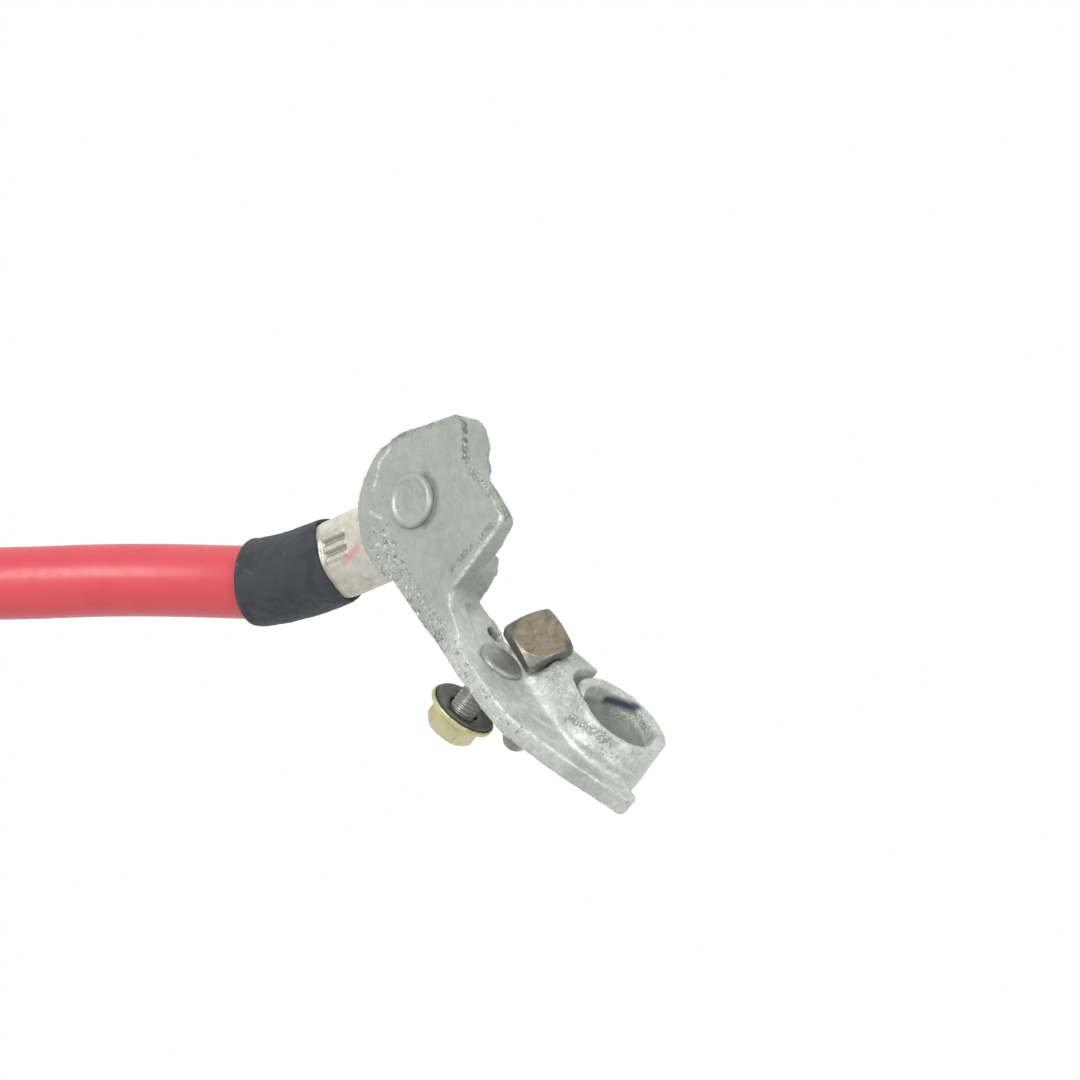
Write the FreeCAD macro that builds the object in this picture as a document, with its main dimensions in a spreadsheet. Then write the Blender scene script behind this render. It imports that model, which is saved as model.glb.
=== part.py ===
import FreeCAD, Part
import math
import os
import Sketcher

# Battery cable connector: a cast clamp terminal riveted to a thick battery cable.
#
# The casting and its fittings are drawn in the terminal's own frame, in millimetres:
#   X runs along the neck, from the head plate toward the split ring,
#   Y runs from the front of the head plate toward its back,
#   Z is the axis of the ring, out of the wide mouth of its bore.
# The frame's origin is the centre of the auxiliary stud's seat on the flange.
# One placement then lays everything on the table as the stiff cable holds it:
# +Z up, with the part's origin at the middle of the post bore.

V = FreeCAD.Vector
doc = FreeCAD.newDocument("BatteryCableConnector")
sizes = doc.addObject("Spreadsheet::Sheet", "Sizes")

# Driving dimensions. Each has a word as its alias and a note on what it is.
DIMENSIONS = [
    ("flange_thick", 4.2, "thickness of the flange around the stud"),
    ("bulge_near", -10.1, "Y of the flange's near edge beside the stud"),
    ("lever_x", 39.4, "X of the flange's lever tip"),
    ("lever_y", 11.2, "Y of the flange's lever tip"),
    ("ring_x", 21.4, "X of the ring's axis"),
    ("ring_y", 15.4, "Y of the ring's axis"),
    ("ring_outer", 11.7, "outer radius of the ring"),
    ("ring_rise", 7.5, "height of the ring above the flange"),
    ("origin_high", 1.45, "Z of the part's origin on the ring's axis"),
    ("bore_radius", 8.4, "radius of the post bore"),
    ("bore_mouth", 8.75, "radius of the bore's wide mouth"),
    ("mouth_depth", 3.4, "depth of the bore's tapered mouth"),
    ("wall_near", 3.7, "Y of the straight wall beside the ring"),
    ("bore_relief", 0.8, "step by which the bore widens below the flange"),
    ("ring_lean", 19.7, "lean of the ring's drafted side, degrees"),
    ("ring_lean_way", 132, "direction that the drafted side leans toward, degrees"),
    ("ear_under", 1.5, "Z of the underside of the hooked ear"),
    ("head_front", 8.9, "distance of the head plate's front face before the stud"),
    ("head_thick", 5.2, "thickness of the head plate"),
    ("rivet_x", -36.9, "X of the rivet"),
    ("rivet_z", 10.7, "Z of the rivet"),
    ("head_round", 16.7, "radius of the head plate's round side"),
    ("neck_under", -4.7, "Z of the underside of the neck"),
    ("neck_floor", 2.3, "Z of the neck's floor behind the head plate"),
    ("neck_back", 4.2, "Y of the neck's back edge"),
    ("rim_back", -1.0, "Y of the back of the head plate's deep rim"),
    ("thread_size", 6.0, "outer diameter of the M6 threads"),
    ("thread_play", 0.05, "radial play between a screw and its nut"),
    ("stud_head", 10.0, "diameter of the stud's flat head"),
    ("stud_head_high", 1.2, "height of the stud's flat head"),
    ("stud_reach", 20.8, "length of the stud below the flange's top face"),
    ("spot_face", 16.6, "diameter of the flat face under the flange for the washer"),
    ("nut_seat", -12.5, "Z of the washer's rim, with the nut backed off"),
    ("washer_wide", 14.0, "diameter of the dished washer"),
    ("washer_thick", 1.1, "thickness of the dished washer"),
    ("washer_dish", 0.9, "depth of the washer's dish"),
    ("seat_gap", 0.05, "gap under the clamp bolt's head and over the clamp nut"),
    ("nut_flats", 10.0, "size across the flats of the flange nut"),
    ("nut_high", 5.9, "height of the flange nut"),
    ("nut_flange", 15.2, "diameter of the flange nut's flange"),
    ("nut_flange_high", 1.4, "thickness of the flange nut's flange"),
    ("bolt_x", 0.5, "X of the clamp bolt's head centre"),
    ("bolt_y", 4.3, "Y of the clamp bolt's head centre"),
    ("bolt_z", 9.4, "Z of the clamp bolt's head centre"),
    ("bolt_tilt", 37.6, "tilt of the clamp bolt about X, degrees"),
    ("bolt_lean", 8.2, "lean of the clamp bolt along the neck, degrees"),
    ("bolt_flats", 11.0, "size of the clamp bolt's square head"),
    ("bolt_head_high", 5.0, "height of the clamp bolt's head"),
    ("bolt_long", 40.0, "length of the clamp bolt under its head"),
    ("clamp_gap_from", 13.0, "start of the clamp gap, measured down the bolt"),
    ("clamp_gap_to", 15.2, "end of the clamp gap, measured down the bolt"),
    ("tab_end", 22.4, "seat of the clamp nut, measured down the bolt"),
    ("clamp_nut_flats", 10.0, "size across the flats of the clamp nut"),
    ("clamp_nut_high", 5.2, "height of the clamp nut"),
    ("rivet_head", 11.7, "diameter of the rivet's head"),
    ("rivet_head_high", 1.5, "height of the rivet's head"),
    ("rivet_shank", 7.0, "diameter of the rivet's shank"),
    ("palm_thick", 3.4, "thickness of a lug's palm"),
    ("palm_wide", 21.0, "width of a lug's palm"),
    ("barrel_outer", 17.6, "outer diameter of a lug's barrel"),
    ("barrel_start", 17.0, "distance from the hole to the full round barrel"),
    ("barrel_end", 36.0, "distance from the hole to the barrel's mouth"),
    ("lug_turn", 61.5, "angle of the lug below the neck's line, degrees"),
    ("far_hole", 8.4, "diameter of the far lug's hole"),
    ("cable_outer", 16.1, "diameter of the cable over its insulation"),
    ("conductor_size", 11.4, "diameter of the copper conductor"),
    ("conductor_gap", 0.1, "radial gap between conductor and insulation"),
    ("crimp_depth", 13.0, "length of conductor inside each lug"),
    ("sleeve_wall", 1.0, "wall of the black sleeves"),
    ("sleeve_lap", 3.0, "length of a sleeve over the lug's barrel"),
    ("sleeve_tail", 1.8, "straight length of a sleeve past the cable's first bend"),
]

# Directions in the table's frame of the neck's line and of the post bore's axis.
NECK_LINE = V(0.497, -0.683, 0.532)
POST_LINE = V(0.564, 0.722, 0.400)

# The slot beside the ring's free arm: pairs of degrees round the ring and distance from its axis.
SLOT_OUTSIDE = [(160, 14.2), (177, 13.95), (190, 13.65), (211, 12.5), (224, 11.0), (239, 9.8),
                (258, 8.0)]
SLOT_INSIDE = [(238, 7.8), (222, 9.9), (205, 10.9), (186, 11.4), (172, 11.8), (160, 12.4)]

# The cable's route in the part's frame, chosen by hand: out of the front barrel, down to the
# table, along it, and round one loose open loop to the far lug.
ROUTE = [
    V(-56.993, 36.516, -41.503),
    V(-69.461, 31.277, -51.803),
    V(-85.900, 31.800, -59.100),
    V(-107.40, 32.100, -63.600),
    V(-133.40, 31.000, -65.000),
    V(-170.00, 31.500, -65.000),
    V(-216.00, 30.000, -65.000),
    V(-270.00, 32.000, -65.000),
    V(-306.80, 47.600, -65.000),
    V(-334.80, 76.100, -65.000),
    V(-349.80, 113.20, -65.000),
    V(-349.50, 152.20, -65.000),
    V(-334.20, 188.10, -65.000),
    V(-306.40, 215.50, -65.000),
    V(-270.30, 230.10, -65.000),
    V(-231.30, 229.70, -65.000),
    V(-195.40, 214.50, -65.000),
    V(-167.80, 186.90, -65.000),
    V(-154.00, 152.60, -63.600),
    V(-153.40, 118.60, -62.800),
    V(-159.20, 93.500, -62.750),
]


def fill_sheet():
    """Write each driving dimension with its note and alias, one row each."""
    for row, (alias, value, note) in enumerate(DIMENSIONS, start=1):
        sizes.set("A%d" % row, note)
        sizes.set("B%d" % row, str(value))
        sizes.setAlias("B%d" % row, alias)
    doc.recompute()


def size(text):
    """The value of an expression in the sheet's aliases, such as 'ring_x + 2'."""
    return float(FreeCAD.Units.Quantity(sizes.evalExpression(text)).Value)


def linked(text):
    """The same expression as another object must write it, with the sheet's name."""
    for alias, _, _ in sorted(DIMENSIONS, key=lambda row: -len(row[0])):
        text = text.replace(alias, "@%d@" % [row[0] for row in DIMENSIONS].index(alias))
    for index, row in enumerate(DIMENSIONS):
        text = text.replace("@%d@" % index, "Sizes." + row[0])
    return text


fill_sheet()


def terminal_placement():
    """Lays the terminal's frame on the table with the part's origin inside the post bore."""
    turn = FreeCAD.Rotation(NECK_LINE, V(), POST_LINE, "ZXY")
    bore_middle = V(size("ring_x"), size("ring_y"), size("origin_high"))
    return FreeCAD.Placement(-turn.multVec(bore_middle), turn)


LAY = terminal_placement()


def bolt_placement():
    """The clamp bolt's frame inside the terminal's: Z out of the middle of its head."""
    tilt = FreeCAD.Rotation(V(1, 0, 0), size("bolt_tilt"))
    lean = FreeCAD.Rotation(V(0, 1, 0), size("bolt_lean"))
    return FreeCAD.Placement(V(size("bolt_x"), size("bolt_y"), size("bolt_z")), tilt * lean)


def lug_placement():
    """The front lug's frame inside the terminal's: X down its barrel, Z toward the head plate."""
    angle = math.radians(size("lug_turn"))
    down_barrel = V(-math.cos(angle), 0, -math.sin(angle))
    palm_face = size("head_thick - head_front")
    turn = FreeCAD.Rotation(down_barrel, V(), V(0, -1, 0), "ZXY")
    return FreeCAD.Placement(V(size("rivet_x"), palm_face, size("rivet_z")), turn)


def new_body(label):
    """An empty body whose label is the name of the piece."""
    body = doc.addObject("PartDesign::Body", label)
    body.Label = label
    return body


def sketch_on(body, role, name, lift=None, turn=None):
    """A sketch on one of the body's origin planes, lifted and turned where needed."""
    plane = next(part for part in body.Origin.OriginFeatures if part.Role == role)
    sketch = body.newObject("Sketcher::SketchObject", name)
    sketch.AttachmentSupport = [(plane, "")]
    sketch.MapMode = "FlatFace"
    if turn:
        sketch.AttachmentOffset = turn
    if lift:
        sketch.setExpression(".AttachmentOffset.Base.z", linked(lift))
    return sketch


def pin_point(sketch, shape, end, across, up):
    """Hold one end of a sketch line or circle at a place given by two size expressions."""
    for kind, text in (("DistanceX", across), ("DistanceY", up)):
        place = size(text)
        if abs(place) < 1e-9:
            line = -2 if kind == "DistanceX" else -1
            sketch.addConstraint(Sketcher.Constraint("PointOnObject", shape, end, line))
            continue
        row = sketch.addConstraint(Sketcher.Constraint(kind, -1, 1, shape, end, place))
        sketch.setExpression("Constraints[%d]" % row, linked(text))


def outline(sketch, corners):
    """A closed outline of straight lines. A corner is a pair of size expressions."""
    corners = [(str(across), str(up)) for across, up in corners]
    spots = [V(size(across), size(up), 0) for across, up in corners]
    first = sketch.GeometryCount
    for index, spot in enumerate(spots):
        sketch.addGeometry(Part.LineSegment(spot, spots[(index + 1) % len(spots)]))
    for index, (across, up) in enumerate(corners):
        after = first + (index + 1) % len(corners)
        sketch.addConstraint(Sketcher.Constraint("Coincident", first + index, 2, after, 1))
        pin_point(sketch, first + index, 1, across, up)


def circle(sketch, across, up, radius):
    """A circle whose centre and radius are size expressions."""
    middle = V(size(across), size(up), 0)
    shape = sketch.addGeometry(Part.Circle(middle, V(0, 0, 1), size(radius)))
    pin_point(sketch, shape, 3, across, up)
    row = sketch.addConstraint(Sketcher.Constraint("Radius", shape, size(radius)))
    sketch.setExpression("Constraints[%d]" % row, linked(radius))


def pad(body, sketch, length, backwards=False, refine=True):
    """Pad a sketch by a length given as a size expression."""
    feature = body.newObject("PartDesign::Pad", sketch.Name + "_pad")
    feature.Profile = sketch
    feature.setExpression("Length", linked(length))
    feature.Reversed = backwards
    feature.Refine = refine
    doc.recompute()
    return feature


def pocket(body, sketch, length, backwards=False):
    """Cut a sketch into the body, and make sure that it removed something."""
    before = body.Shape.Volume
    feature = body.newObject("PartDesign::Pocket", sketch.Name + "_pocket")
    feature.Profile = sketch
    feature.setExpression("Length", linked(length))
    feature.Reversed = backwards
    doc.recompute()
    if body.Shape.Volume > before - 0.01:
        raise RuntimeError("%s cuts nothing" % feature.Name)
    return feature


def revolve(body, sketch, groove=False):
    """Turn a sketch once round its own upright axis, to add or to cut."""
    kind = "PartDesign::Groove" if groove else "PartDesign::Revolution"
    feature = body.newObject(kind, sketch.Name + "_turned")
    feature.Profile = sketch
    feature.ReferenceAxis = (sketch, ["V_Axis"])
    feature.Angle = 360
    doc.recompute()
    return feature


def edges_at(shape, spots, reach):
    """Names of the edges whose middle lies within reach of one of the spots."""
    names = []
    for index, edge in enumerate(shape.Edges, start=1):
        middle = edge.valueAt((edge.FirstParameter + edge.LastParameter) / 2)
        if any((middle - V(*spot)).Length < reach for spot in spots):
            names.append("Edge%d" % index)
    return names


def fillet(body, names, radius, title):
    """Round the named edges of the body's last feature."""
    base = body.Tip
    feature = body.newObject("PartDesign::Fillet", title)
    feature.Base = (base, names)
    feature.Radius = radius
    doc.recompute()
    return feature


def turned_sketch(body, name, placement):
    """A sketch on the body's XY plane, moved and turned by a placement."""
    return sketch_on(body, "XY_Plane", name, turn=placement)


def down_bolt(distance):
    """A placement on the clamp bolt's axis, so far below the top of its head."""
    return bolt_placement() * FreeCAD.Placement(V(0, 0, -size(distance)), FreeCAD.Rotation())


def add_flange(body):
    """The flat flange: a rounded bulge round the stud and a lever that runs past the ring."""
    sketch = sketch_on(body, "XY_Plane", "flange", lift="-flange_thick")
    outline(sketch, [
        ("-9", "-head_front"), ("-1.5", "bulge_near"), ("11.5", "bulge_near"),
        ("17.4", "bulge_near + 0.9"), ("30.3", "1.7"), ("lever_x", "lever_y"),
        ("lever_x - 0.8", "lever_y + 3"), ("ring_x + 9", "lever_y + 3.2"),
        ("ring_x", "ring_y - 3"), ("9", "9.2"), ("-4", "9.2"), ("-9", "neck_back"),
    ])
    pad(body, sketch, "flange_thick")
    low = -size("flange_thick") / 2
    tip = (size("lever_x"), size("lever_y"), low)
    corner = (size("lever_x - 0.8"), size("lever_y + 3"), low)
    fillet(body, edges_at(body.Shape, [tip, corner], 0.2), 1.35, "lever_tip_rounds")
    shoulder = [(17.4, size("bulge_near + 0.9"), low), (11.5, size("bulge_near"), low),
                (-1.5, size("bulge_near"), low)]
    fillet(body, edges_at(body.Shape, shoulder, 0.3), 4.0, "stud_bulge_rounds")


def add_ring(body):
    """The ring. Its near side is drafted: it is trimmed to a cylinder that leans back."""
    ring = sketch_on(body, "XY_Plane", "ring", lift="-flange_thick")
    circle(ring, "ring_x", "ring_y", "ring_outer")
    pad(body, ring, "flange_thick + ring_rise")
    way = math.radians(size("ring_lean_way"))
    lean = FreeCAD.Rotation(V(-math.sin(way), math.cos(way), 0), size("ring_lean"))
    upright = FreeCAD.Rotation(V(1, 0, 0), -90) * lean * FreeCAD.Rotation(V(1, 0, 0), 90)
    foot = V(size("ring_x"), 0, -size("ring_y"))
    trim = sketch_on(body, "XZ_Plane", "ring_draft", turn=FreeCAD.Placement(foot, upright))
    outline(trim, [("ring_outer - 0.1", "-1"), ("ring_outer + 6", "-1"), ("ring_outer + 6", "16"),
                   ("ring_outer - 0.1", "16")])
    revolve(body, trim, groove=True)


def wall_section(body, name, along, crease):
    """The section of the wall beside the ring: upright below, and drafted up to its crease."""
    section = sketch_on(body, "YZ_Plane", name, lift=along)
    outline(section, [("wall_near", "-flange_thick"), ("9.2", "-flange_thick"),
                      ("9.2", "ring_rise"), (crease, "ring_rise"), ("wall_near", "0.9")])
    return section


def add_wall(body):
    """The wall that joins the bolt's seat to the ring, and the hooked ear beyond its slot."""
    left = wall_section(body, "wall_at_seat", "4.6", "7.1")
    right = wall_section(body, "wall_at_ring", "ring_x", "5.2")
    doc.recompute()
    loft = body.newObject("PartDesign::AdditiveLoft", "near_wall")
    loft.Profile = left
    loft.Sections = [right]
    doc.recompute()
    ear = sketch_on(body, "XY_Plane", "ear", lift="ear_under")
    outline(ear, [("4.6", "wall_near + 3.4"), ("15", "wall_near + 3.4"), ("12.5", "12.5"),
                  ("8.6", "18.6"), ("7.5", "19.6"), ("6", "18.6"), ("0.9", "15.6"),
                  ("2.6", "9")])
    pad(body, ear, "ring_rise - ear_under")


def add_neck(body):
    """The neck's floor, and the wall that closes the lug's channel."""
    floor = sketch_on(body, "XZ_Plane", "neck_floor_slab", lift="-neck_back")
    outline(floor, [("-25", "neck_under"), ("-2", "neck_under"), ("-2", "-0.4"), ("-6", "0.6"),
                    ("-11", "neck_floor"), ("-25", "neck_floor")])
    pad(body, floor, "neck_back + head_front")
    wall = sketch_on(body, "XZ_Plane", "channel_wall", lift="-neck_back")
    outline(wall, [("-22.4", "0"), ("-16.6", "0"), ("-16.7", "3.5"), ("-17.3", "10.3"),
                   ("-19.6", "12.4"), ("-22.4", "12")])
    pad(body, wall, "neck_back + head_front - 2")


def add_head(body):
    """The upright head plate with its round side, and the front of the neck below it."""
    plate = sketch_on(body, "XZ_Plane", "head_plate", lift="head_front - head_thick")
    outline(plate, [
        ("-52.4", "rivet_z + 4.3"), ("-42.1", "30.9"), ("-38.6", "31.7"), ("-32.5", "26.5"),
        ("-30.6", "27"), ("-19", "27"), ("-15.7", "25.8"), ("-15", "15.7"), ("-14.9", "5.4"),
        ("-12.6", "3.4"), ("-3", "0"), ("-3", "-3"), ("-7", "neck_under"),
        ("-28.4", "neck_under"), ("-34", "rivet_z - 8"),
    ])
    pad(body, plate, "head_thick")
    side = sketch_on(body, "XZ_Plane", "head_round_side", lift="head_front - head_thick")
    circle(side, "rivet_x + 1.2", "rivet_z - 0.3", "head_round")
    pad(body, side, "head_thick")
    rim = sketch_on(body, "XZ_Plane", "deep_rim", lift="-rim_back")
    outline(rim, [
        ("-42.9", "30"), ("-42.1", "30.9"), ("-38.6", "31.6"), ("-34.2", "28.4"),
        ("-30.4", "26.6"), ("-28.2", "26.6"), ("-28.2", "24.4"), ("-31", "24.4"),
        ("-34.8", "25.8"), ("-38.2", "28.2"), ("-41.4", "28.4"),
    ])
    pad(body, rim, "head_front - head_thick + rim_back + 0.5")
    slope = sketch_on(body, "XY_Plane", "rim_slope", lift="23")
    outline(slope, [("-34.4", "rim_back + 0.2"), ("-27", "rim_back + 0.2"),
                    ("-27", "head_thick - head_front"), ("-28.4", "head_thick - head_front")])
    pocket(body, slope, "9", backwards=True)
    back = sketch_on(body, "YZ_Plane", "plate_back_slope", lift="-13")
    outline(back, [("-6.7", "27.4"), ("head_thick - head_front + 0.1", "24.5"), ("-2", "24.5"),
                   ("-2", "27.4")])
    pocket(body, back, "17")


def add_seat(body):
    """The seat under the bolt's head."""
    seat = turned_sketch(body, "bolt_seat", down_bolt("clamp_gap_from"))
    outline(seat, [("-5", "-4.8"), ("7", "-4.8"), ("7", "5"), ("-5", "5")])
    pad(body, seat, "clamp_gap_from - bolt_head_high")


def add_tab(body):
    """The tab that the clamp nut pulls toward the seat. It grows from the ring's free arm."""
    tab = turned_sketch(body, "clamp_tab", down_bolt("tab_end - seat_gap"))
    outline(tab, [("-5.6", "-5.6"), ("3", "-5.6"), ("9", "-2"), ("17", "3"), ("17", "13"),
                  ("8", "10"), ("2", "6"), ("-5.6", "6")])
    pad(body, tab, "tab_end - clamp_gap_to")


def round_ring(degrees, distance):
    """A point at so many degrees round the ring and so far from its axis."""
    angle = math.radians(degrees)
    middle = V(size("ring_x"), size("ring_y"), 0)
    return middle + V(math.cos(angle), math.sin(angle), 0) * distance


def cut_slot(body):
    """The slot that frees the ring's arm: open at the ear's hook, and it runs into the bore."""
    slot = sketch_on(body, "XY_Plane", "ring_slot", lift="-flange_thick - 1")
    sides = []
    for table in (SLOT_OUTSIDE, SLOT_INSIDE):
        curve = Part.BSplineCurve()
        curve.interpolate([round_ring(*spot) for spot in table])
        slot.addGeometry(curve)
        sides.append(curve)
    outside, inside = sides
    slot.addGeometry(Part.LineSegment(outside.EndPoint, inside.StartPoint))
    slot.addGeometry(Part.LineSegment(inside.EndPoint, outside.StartPoint))
    pocket(body, slot, "flange_thick + ring_rise + 2", backwards=True)


def cut_bore(body):
    """The post bore with its tapered mouth, turned about the ring's axis."""
    centre = V(size("ring_x"), 0, -size("ring_y"))
    sketch = sketch_on(body, "XZ_Plane", "post_bore",
                       turn=FreeCAD.Placement(centre, FreeCAD.Rotation()))
    wide = "bore_radius + bore_relief"
    outline(sketch, [("0", "-flange_thick - 9"), (wide, "-flange_thick - 9"),
                     (wide, "-flange_thick"), ("bore_radius", "-flange_thick"),
                     ("bore_radius", "ring_rise - mouth_depth"), ("bore_mouth", "ring_rise"),
                     ("bore_mouth", "ring_rise + 1"), ("0", "ring_rise + 1")])
    revolve(body, sketch, groove=True)


def cut_holes(body):
    """Holes for the stud, the rivet and the clamp bolt, and room for its head and nut."""
    face = sketch_on(body, "XY_Plane", "stud_face")
    circle(face, "0", "0", "stud_head / 2 + 0.15")
    pocket(body, face, "6", backwards=True)
    stud = sketch_on(body, "XY_Plane", "stud_hole")
    circle(stud, "0", "0", "thread_size / 2")
    pocket(body, stud, "flange_thick + 1")
    spot = sketch_on(body, "XY_Plane", "washer_spot_face", lift="-flange_thick")
    circle(spot, "0", "0", "spot_face / 2")
    pocket(body, spot, "3")
    rivet = sketch_on(body, "XZ_Plane", "rivet_hole", lift="head_front")
    circle(rivet, "rivet_x", "rivet_z", "rivet_shank / 2")
    pocket(body, rivet, "head_thick + 1")
    bolt = turned_sketch(body, "bolt_hole", down_bolt("bolt_head_high - 1"))
    circle(bolt, "0", "0", "thread_size / 2 + 0.35")
    pocket(body, bolt, "tab_end")
    head = turned_sketch(body, "head_room", down_bolt("bolt_head_high + seat_gap"))
    room = "bolt_flats / 2 + 0.2"
    outline(head, [("-%s - 4" % room, "-%s - 2" % room), (room, "-%s - 2" % room),
                   (room, "%s + 6" % room), ("-%s - 4" % room, "%s + 6" % room)])
    pocket(body, head, "bolt_head_high + 8", backwards=True)


def build_terminal():
    """The whole casting."""
    body = new_body("terminal_body")
    add_ring(body)
    add_flange(body)
    add_wall(body)
    add_neck(body)
    add_head(body)
    add_seat(body)
    cut_slot(body)
    add_tab(body)
    cut_bore(body)
    cut_holes(body)
    body.Placement = LAY
    return body


def build_rivet():
    """The rivet: Z out of its head, with the head's seat at z = 0 and a formed tail."""
    body = new_body("lug_rivet")
    sketch = sketch_on(body, "XZ_Plane", "rivet_section")
    grip = "-head_thick - palm_thick"
    outline(sketch, [
        ("0", "rivet_head_high"), ("rivet_head / 2 - 0.6", "rivet_head_high"),
        ("rivet_head / 2", "rivet_head_high - 0.5"), ("rivet_head / 2", "0"),
        ("rivet_shank / 2", "0"), ("rivet_shank / 2", grip), ("rivet_head / 2 - 0.6", grip),
        ("rivet_head / 2 - 0.9", grip + " - 1"), ("rivet_shank / 2 - 0.8", grip + " - 2"),
        ("0", grip + " - 2.2"),
    ])
    revolve(body, sketch)
    seat = V(size("rivet_x"), -size("head_front"), size("rivet_z"))
    turn = FreeCAD.Rotation(V(1, 0, 0), 90)
    body.Placement = LAY * FreeCAD.Placement(seat, turn)
    return body


def build_stud():
    """The auxiliary stud: a flat round head, and an M6 shank pressed through the flange."""
    body = new_body("auxiliary_stud")
    sketch = sketch_on(body, "XZ_Plane", "stud_section")
    outline(sketch, [
        ("0", "stud_head_high"), ("stud_head / 2 - 0.5", "stud_head_high"),
        ("stud_head / 2", "stud_head_high - 0.5"), ("stud_head / 2", "0"),
        ("thread_size / 2", "0"), ("thread_size / 2", "-stud_reach + 0.9"),
        ("thread_size / 2 - 0.9", "-stud_reach"), ("0", "-stud_reach"),
    ])
    revolve(body, sketch)
    body.Placement = LAY
    return body


def build_washer():
    """The dished washer: its rim faces the flange, and its middle sits on the nut."""
    body = new_body("captive_washer")
    sketch = sketch_on(body, "XZ_Plane", "washer_section")
    outline(sketch, [
        ("thread_size / 2 + 0.45", "nut_seat - washer_dish"), ("washer_wide / 2", "nut_seat"),
        ("washer_wide / 2", "nut_seat - washer_thick"),
        ("thread_size / 2 + 0.45", "nut_seat - washer_dish - washer_thick"),
    ])
    revolve(body, sketch)
    body.Placement = LAY
    return body


def hexagon_corners(flats):
    """The six corners of a hexagon, with two of its flats square to X."""
    half = flats + " / 2"
    low = flats + " * tan(30) / 2"
    high = flats + " / cos(30) / 2"
    return [(half, "-" + low), (half, low), ("0", high), ("-" + half, low),
            ("-" + half, "-" + low), ("0", "-" + high)]


def cut_corners(body, flats, face, inward):
    """Bevel a nut's or a bolt head's corners at its outer face, by a turned cut."""
    sketch = sketch_on(body, "XZ_Plane", "corner_bevel")
    edge = flats + " / 2"
    outline(sketch, [(edge, face), (edge + " + 4", face + " %s 2.2" % inward),
                     (edge + " + 4", face)])
    revolve(body, sketch, groove=True)


def build_flange_nut():
    """The flange nut: a coned flange with a low lip round the washer, and a hexagon below."""
    body = new_body("flange_nut")
    under = "nut_seat - washer_thick - 0.1"
    low = "nut_seat - nut_high - washer_thick"
    blank = sketch_on(body, "XY_Plane", "nut_hexagon", lift=low)
    outline(blank, hexagon_corners("nut_flats"))
    pad(body, blank, "nut_high - washer_dish - 0.6")
    section = sketch_on(body, "XZ_Plane", "nut_flange_section")
    outline(section, [
        ("0", under + " - washer_dish"), ("thread_size / 2 + 0.45", under + " - washer_dish"),
        ("washer_wide / 2 + 0.15", under), ("washer_wide / 2 + 0.15", under + " + 0.5"),
        ("nut_flange / 2", under + " + 0.3"), ("nut_flange / 2", under + " - 0.5"),
        ("nut_flats / 2", under + " - nut_flange_high - washer_dish"),
        ("0", under + " - nut_flange_high - washer_dish"),
    ])
    revolve(body, section)
    cut_corners(body, "nut_flats", low, "+")
    hole = sketch_on(body, "XY_Plane", "nut_bore", lift="nut_seat")
    circle(hole, "0", "0", "thread_size / 2 + thread_play")
    pocket(body, hole, "nut_high + washer_thick + 1")
    body.Placement = LAY
    return body


def build_clamp_bolt():
    """The square-head clamp bolt: Z out of the middle of its head."""
    body = new_body("clamp_bolt")
    head = sketch_on(body, "XY_Plane", "bolt_head", lift="-bolt_head_high")
    half = "bolt_flats / 2"
    outline(head, [("-" + half, "-" + half), (half, "-" + half), (half, half), ("-" + half, half)])
    pad(body, head, "bolt_head_high")
    cut_corners(body, "bolt_flats", "0", "-")
    section = sketch_on(body, "XZ_Plane", "bolt_shank")
    outline(section, [
        ("0", "-1"), ("thread_size / 2", "-1"),
        ("thread_size / 2", "-bolt_head_high - bolt_long + 0.9"),
        ("thread_size / 2 - 0.9", "-bolt_head_high - bolt_long"),
        ("0", "-bolt_head_high - bolt_long"),
    ])
    revolve(body, section)
    body.Placement = LAY * bolt_placement()
    return body


def build_clamp_nut():
    """The hexagon nut that pulls the clamp tab, in the bolt's frame."""
    body = new_body("clamp_nut")
    low = "-tab_end - clamp_nut_high"
    blank = sketch_on(body, "XY_Plane", "nut_hexagon", lift=low)
    outline(blank, hexagon_corners("clamp_nut_flats"))
    pad(body, blank, "clamp_nut_high")
    cut_corners(body, "clamp_nut_flats", low, "+")
    hole = sketch_on(body, "XY_Plane", "nut_bore", lift="-tab_end")
    circle(hole, "0", "0", "thread_size / 2 + thread_play")
    pocket(body, hole, "clamp_nut_high + 1")
    body.Placement = LAY * bolt_placement()
    return body


def half_round(sketch, reach, half_high, middle):
    """A closed shape with round ends, such as a flattened tube's section."""
    radius = size(half_high)
    side = size(reach)
    up = size(middle)
    right, left = V(side, up, 0), V(-side, up, 0)
    quarter = math.pi / 2
    normal = V(0, 0, 1)
    sketch.addGeometry(Part.ArcOfCircle(Part.Circle(right, normal, radius), -quarter, quarter))
    sketch.addGeometry(Part.LineSegment(right + V(0, radius, 0), left + V(0, radius, 0)))
    sketch.addGeometry(Part.ArcOfCircle(Part.Circle(left, normal, radius), quarter, 3 * quarter))
    sketch.addGeometry(Part.LineSegment(left - V(0, radius, 0), right - V(0, radius, 0)))


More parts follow.
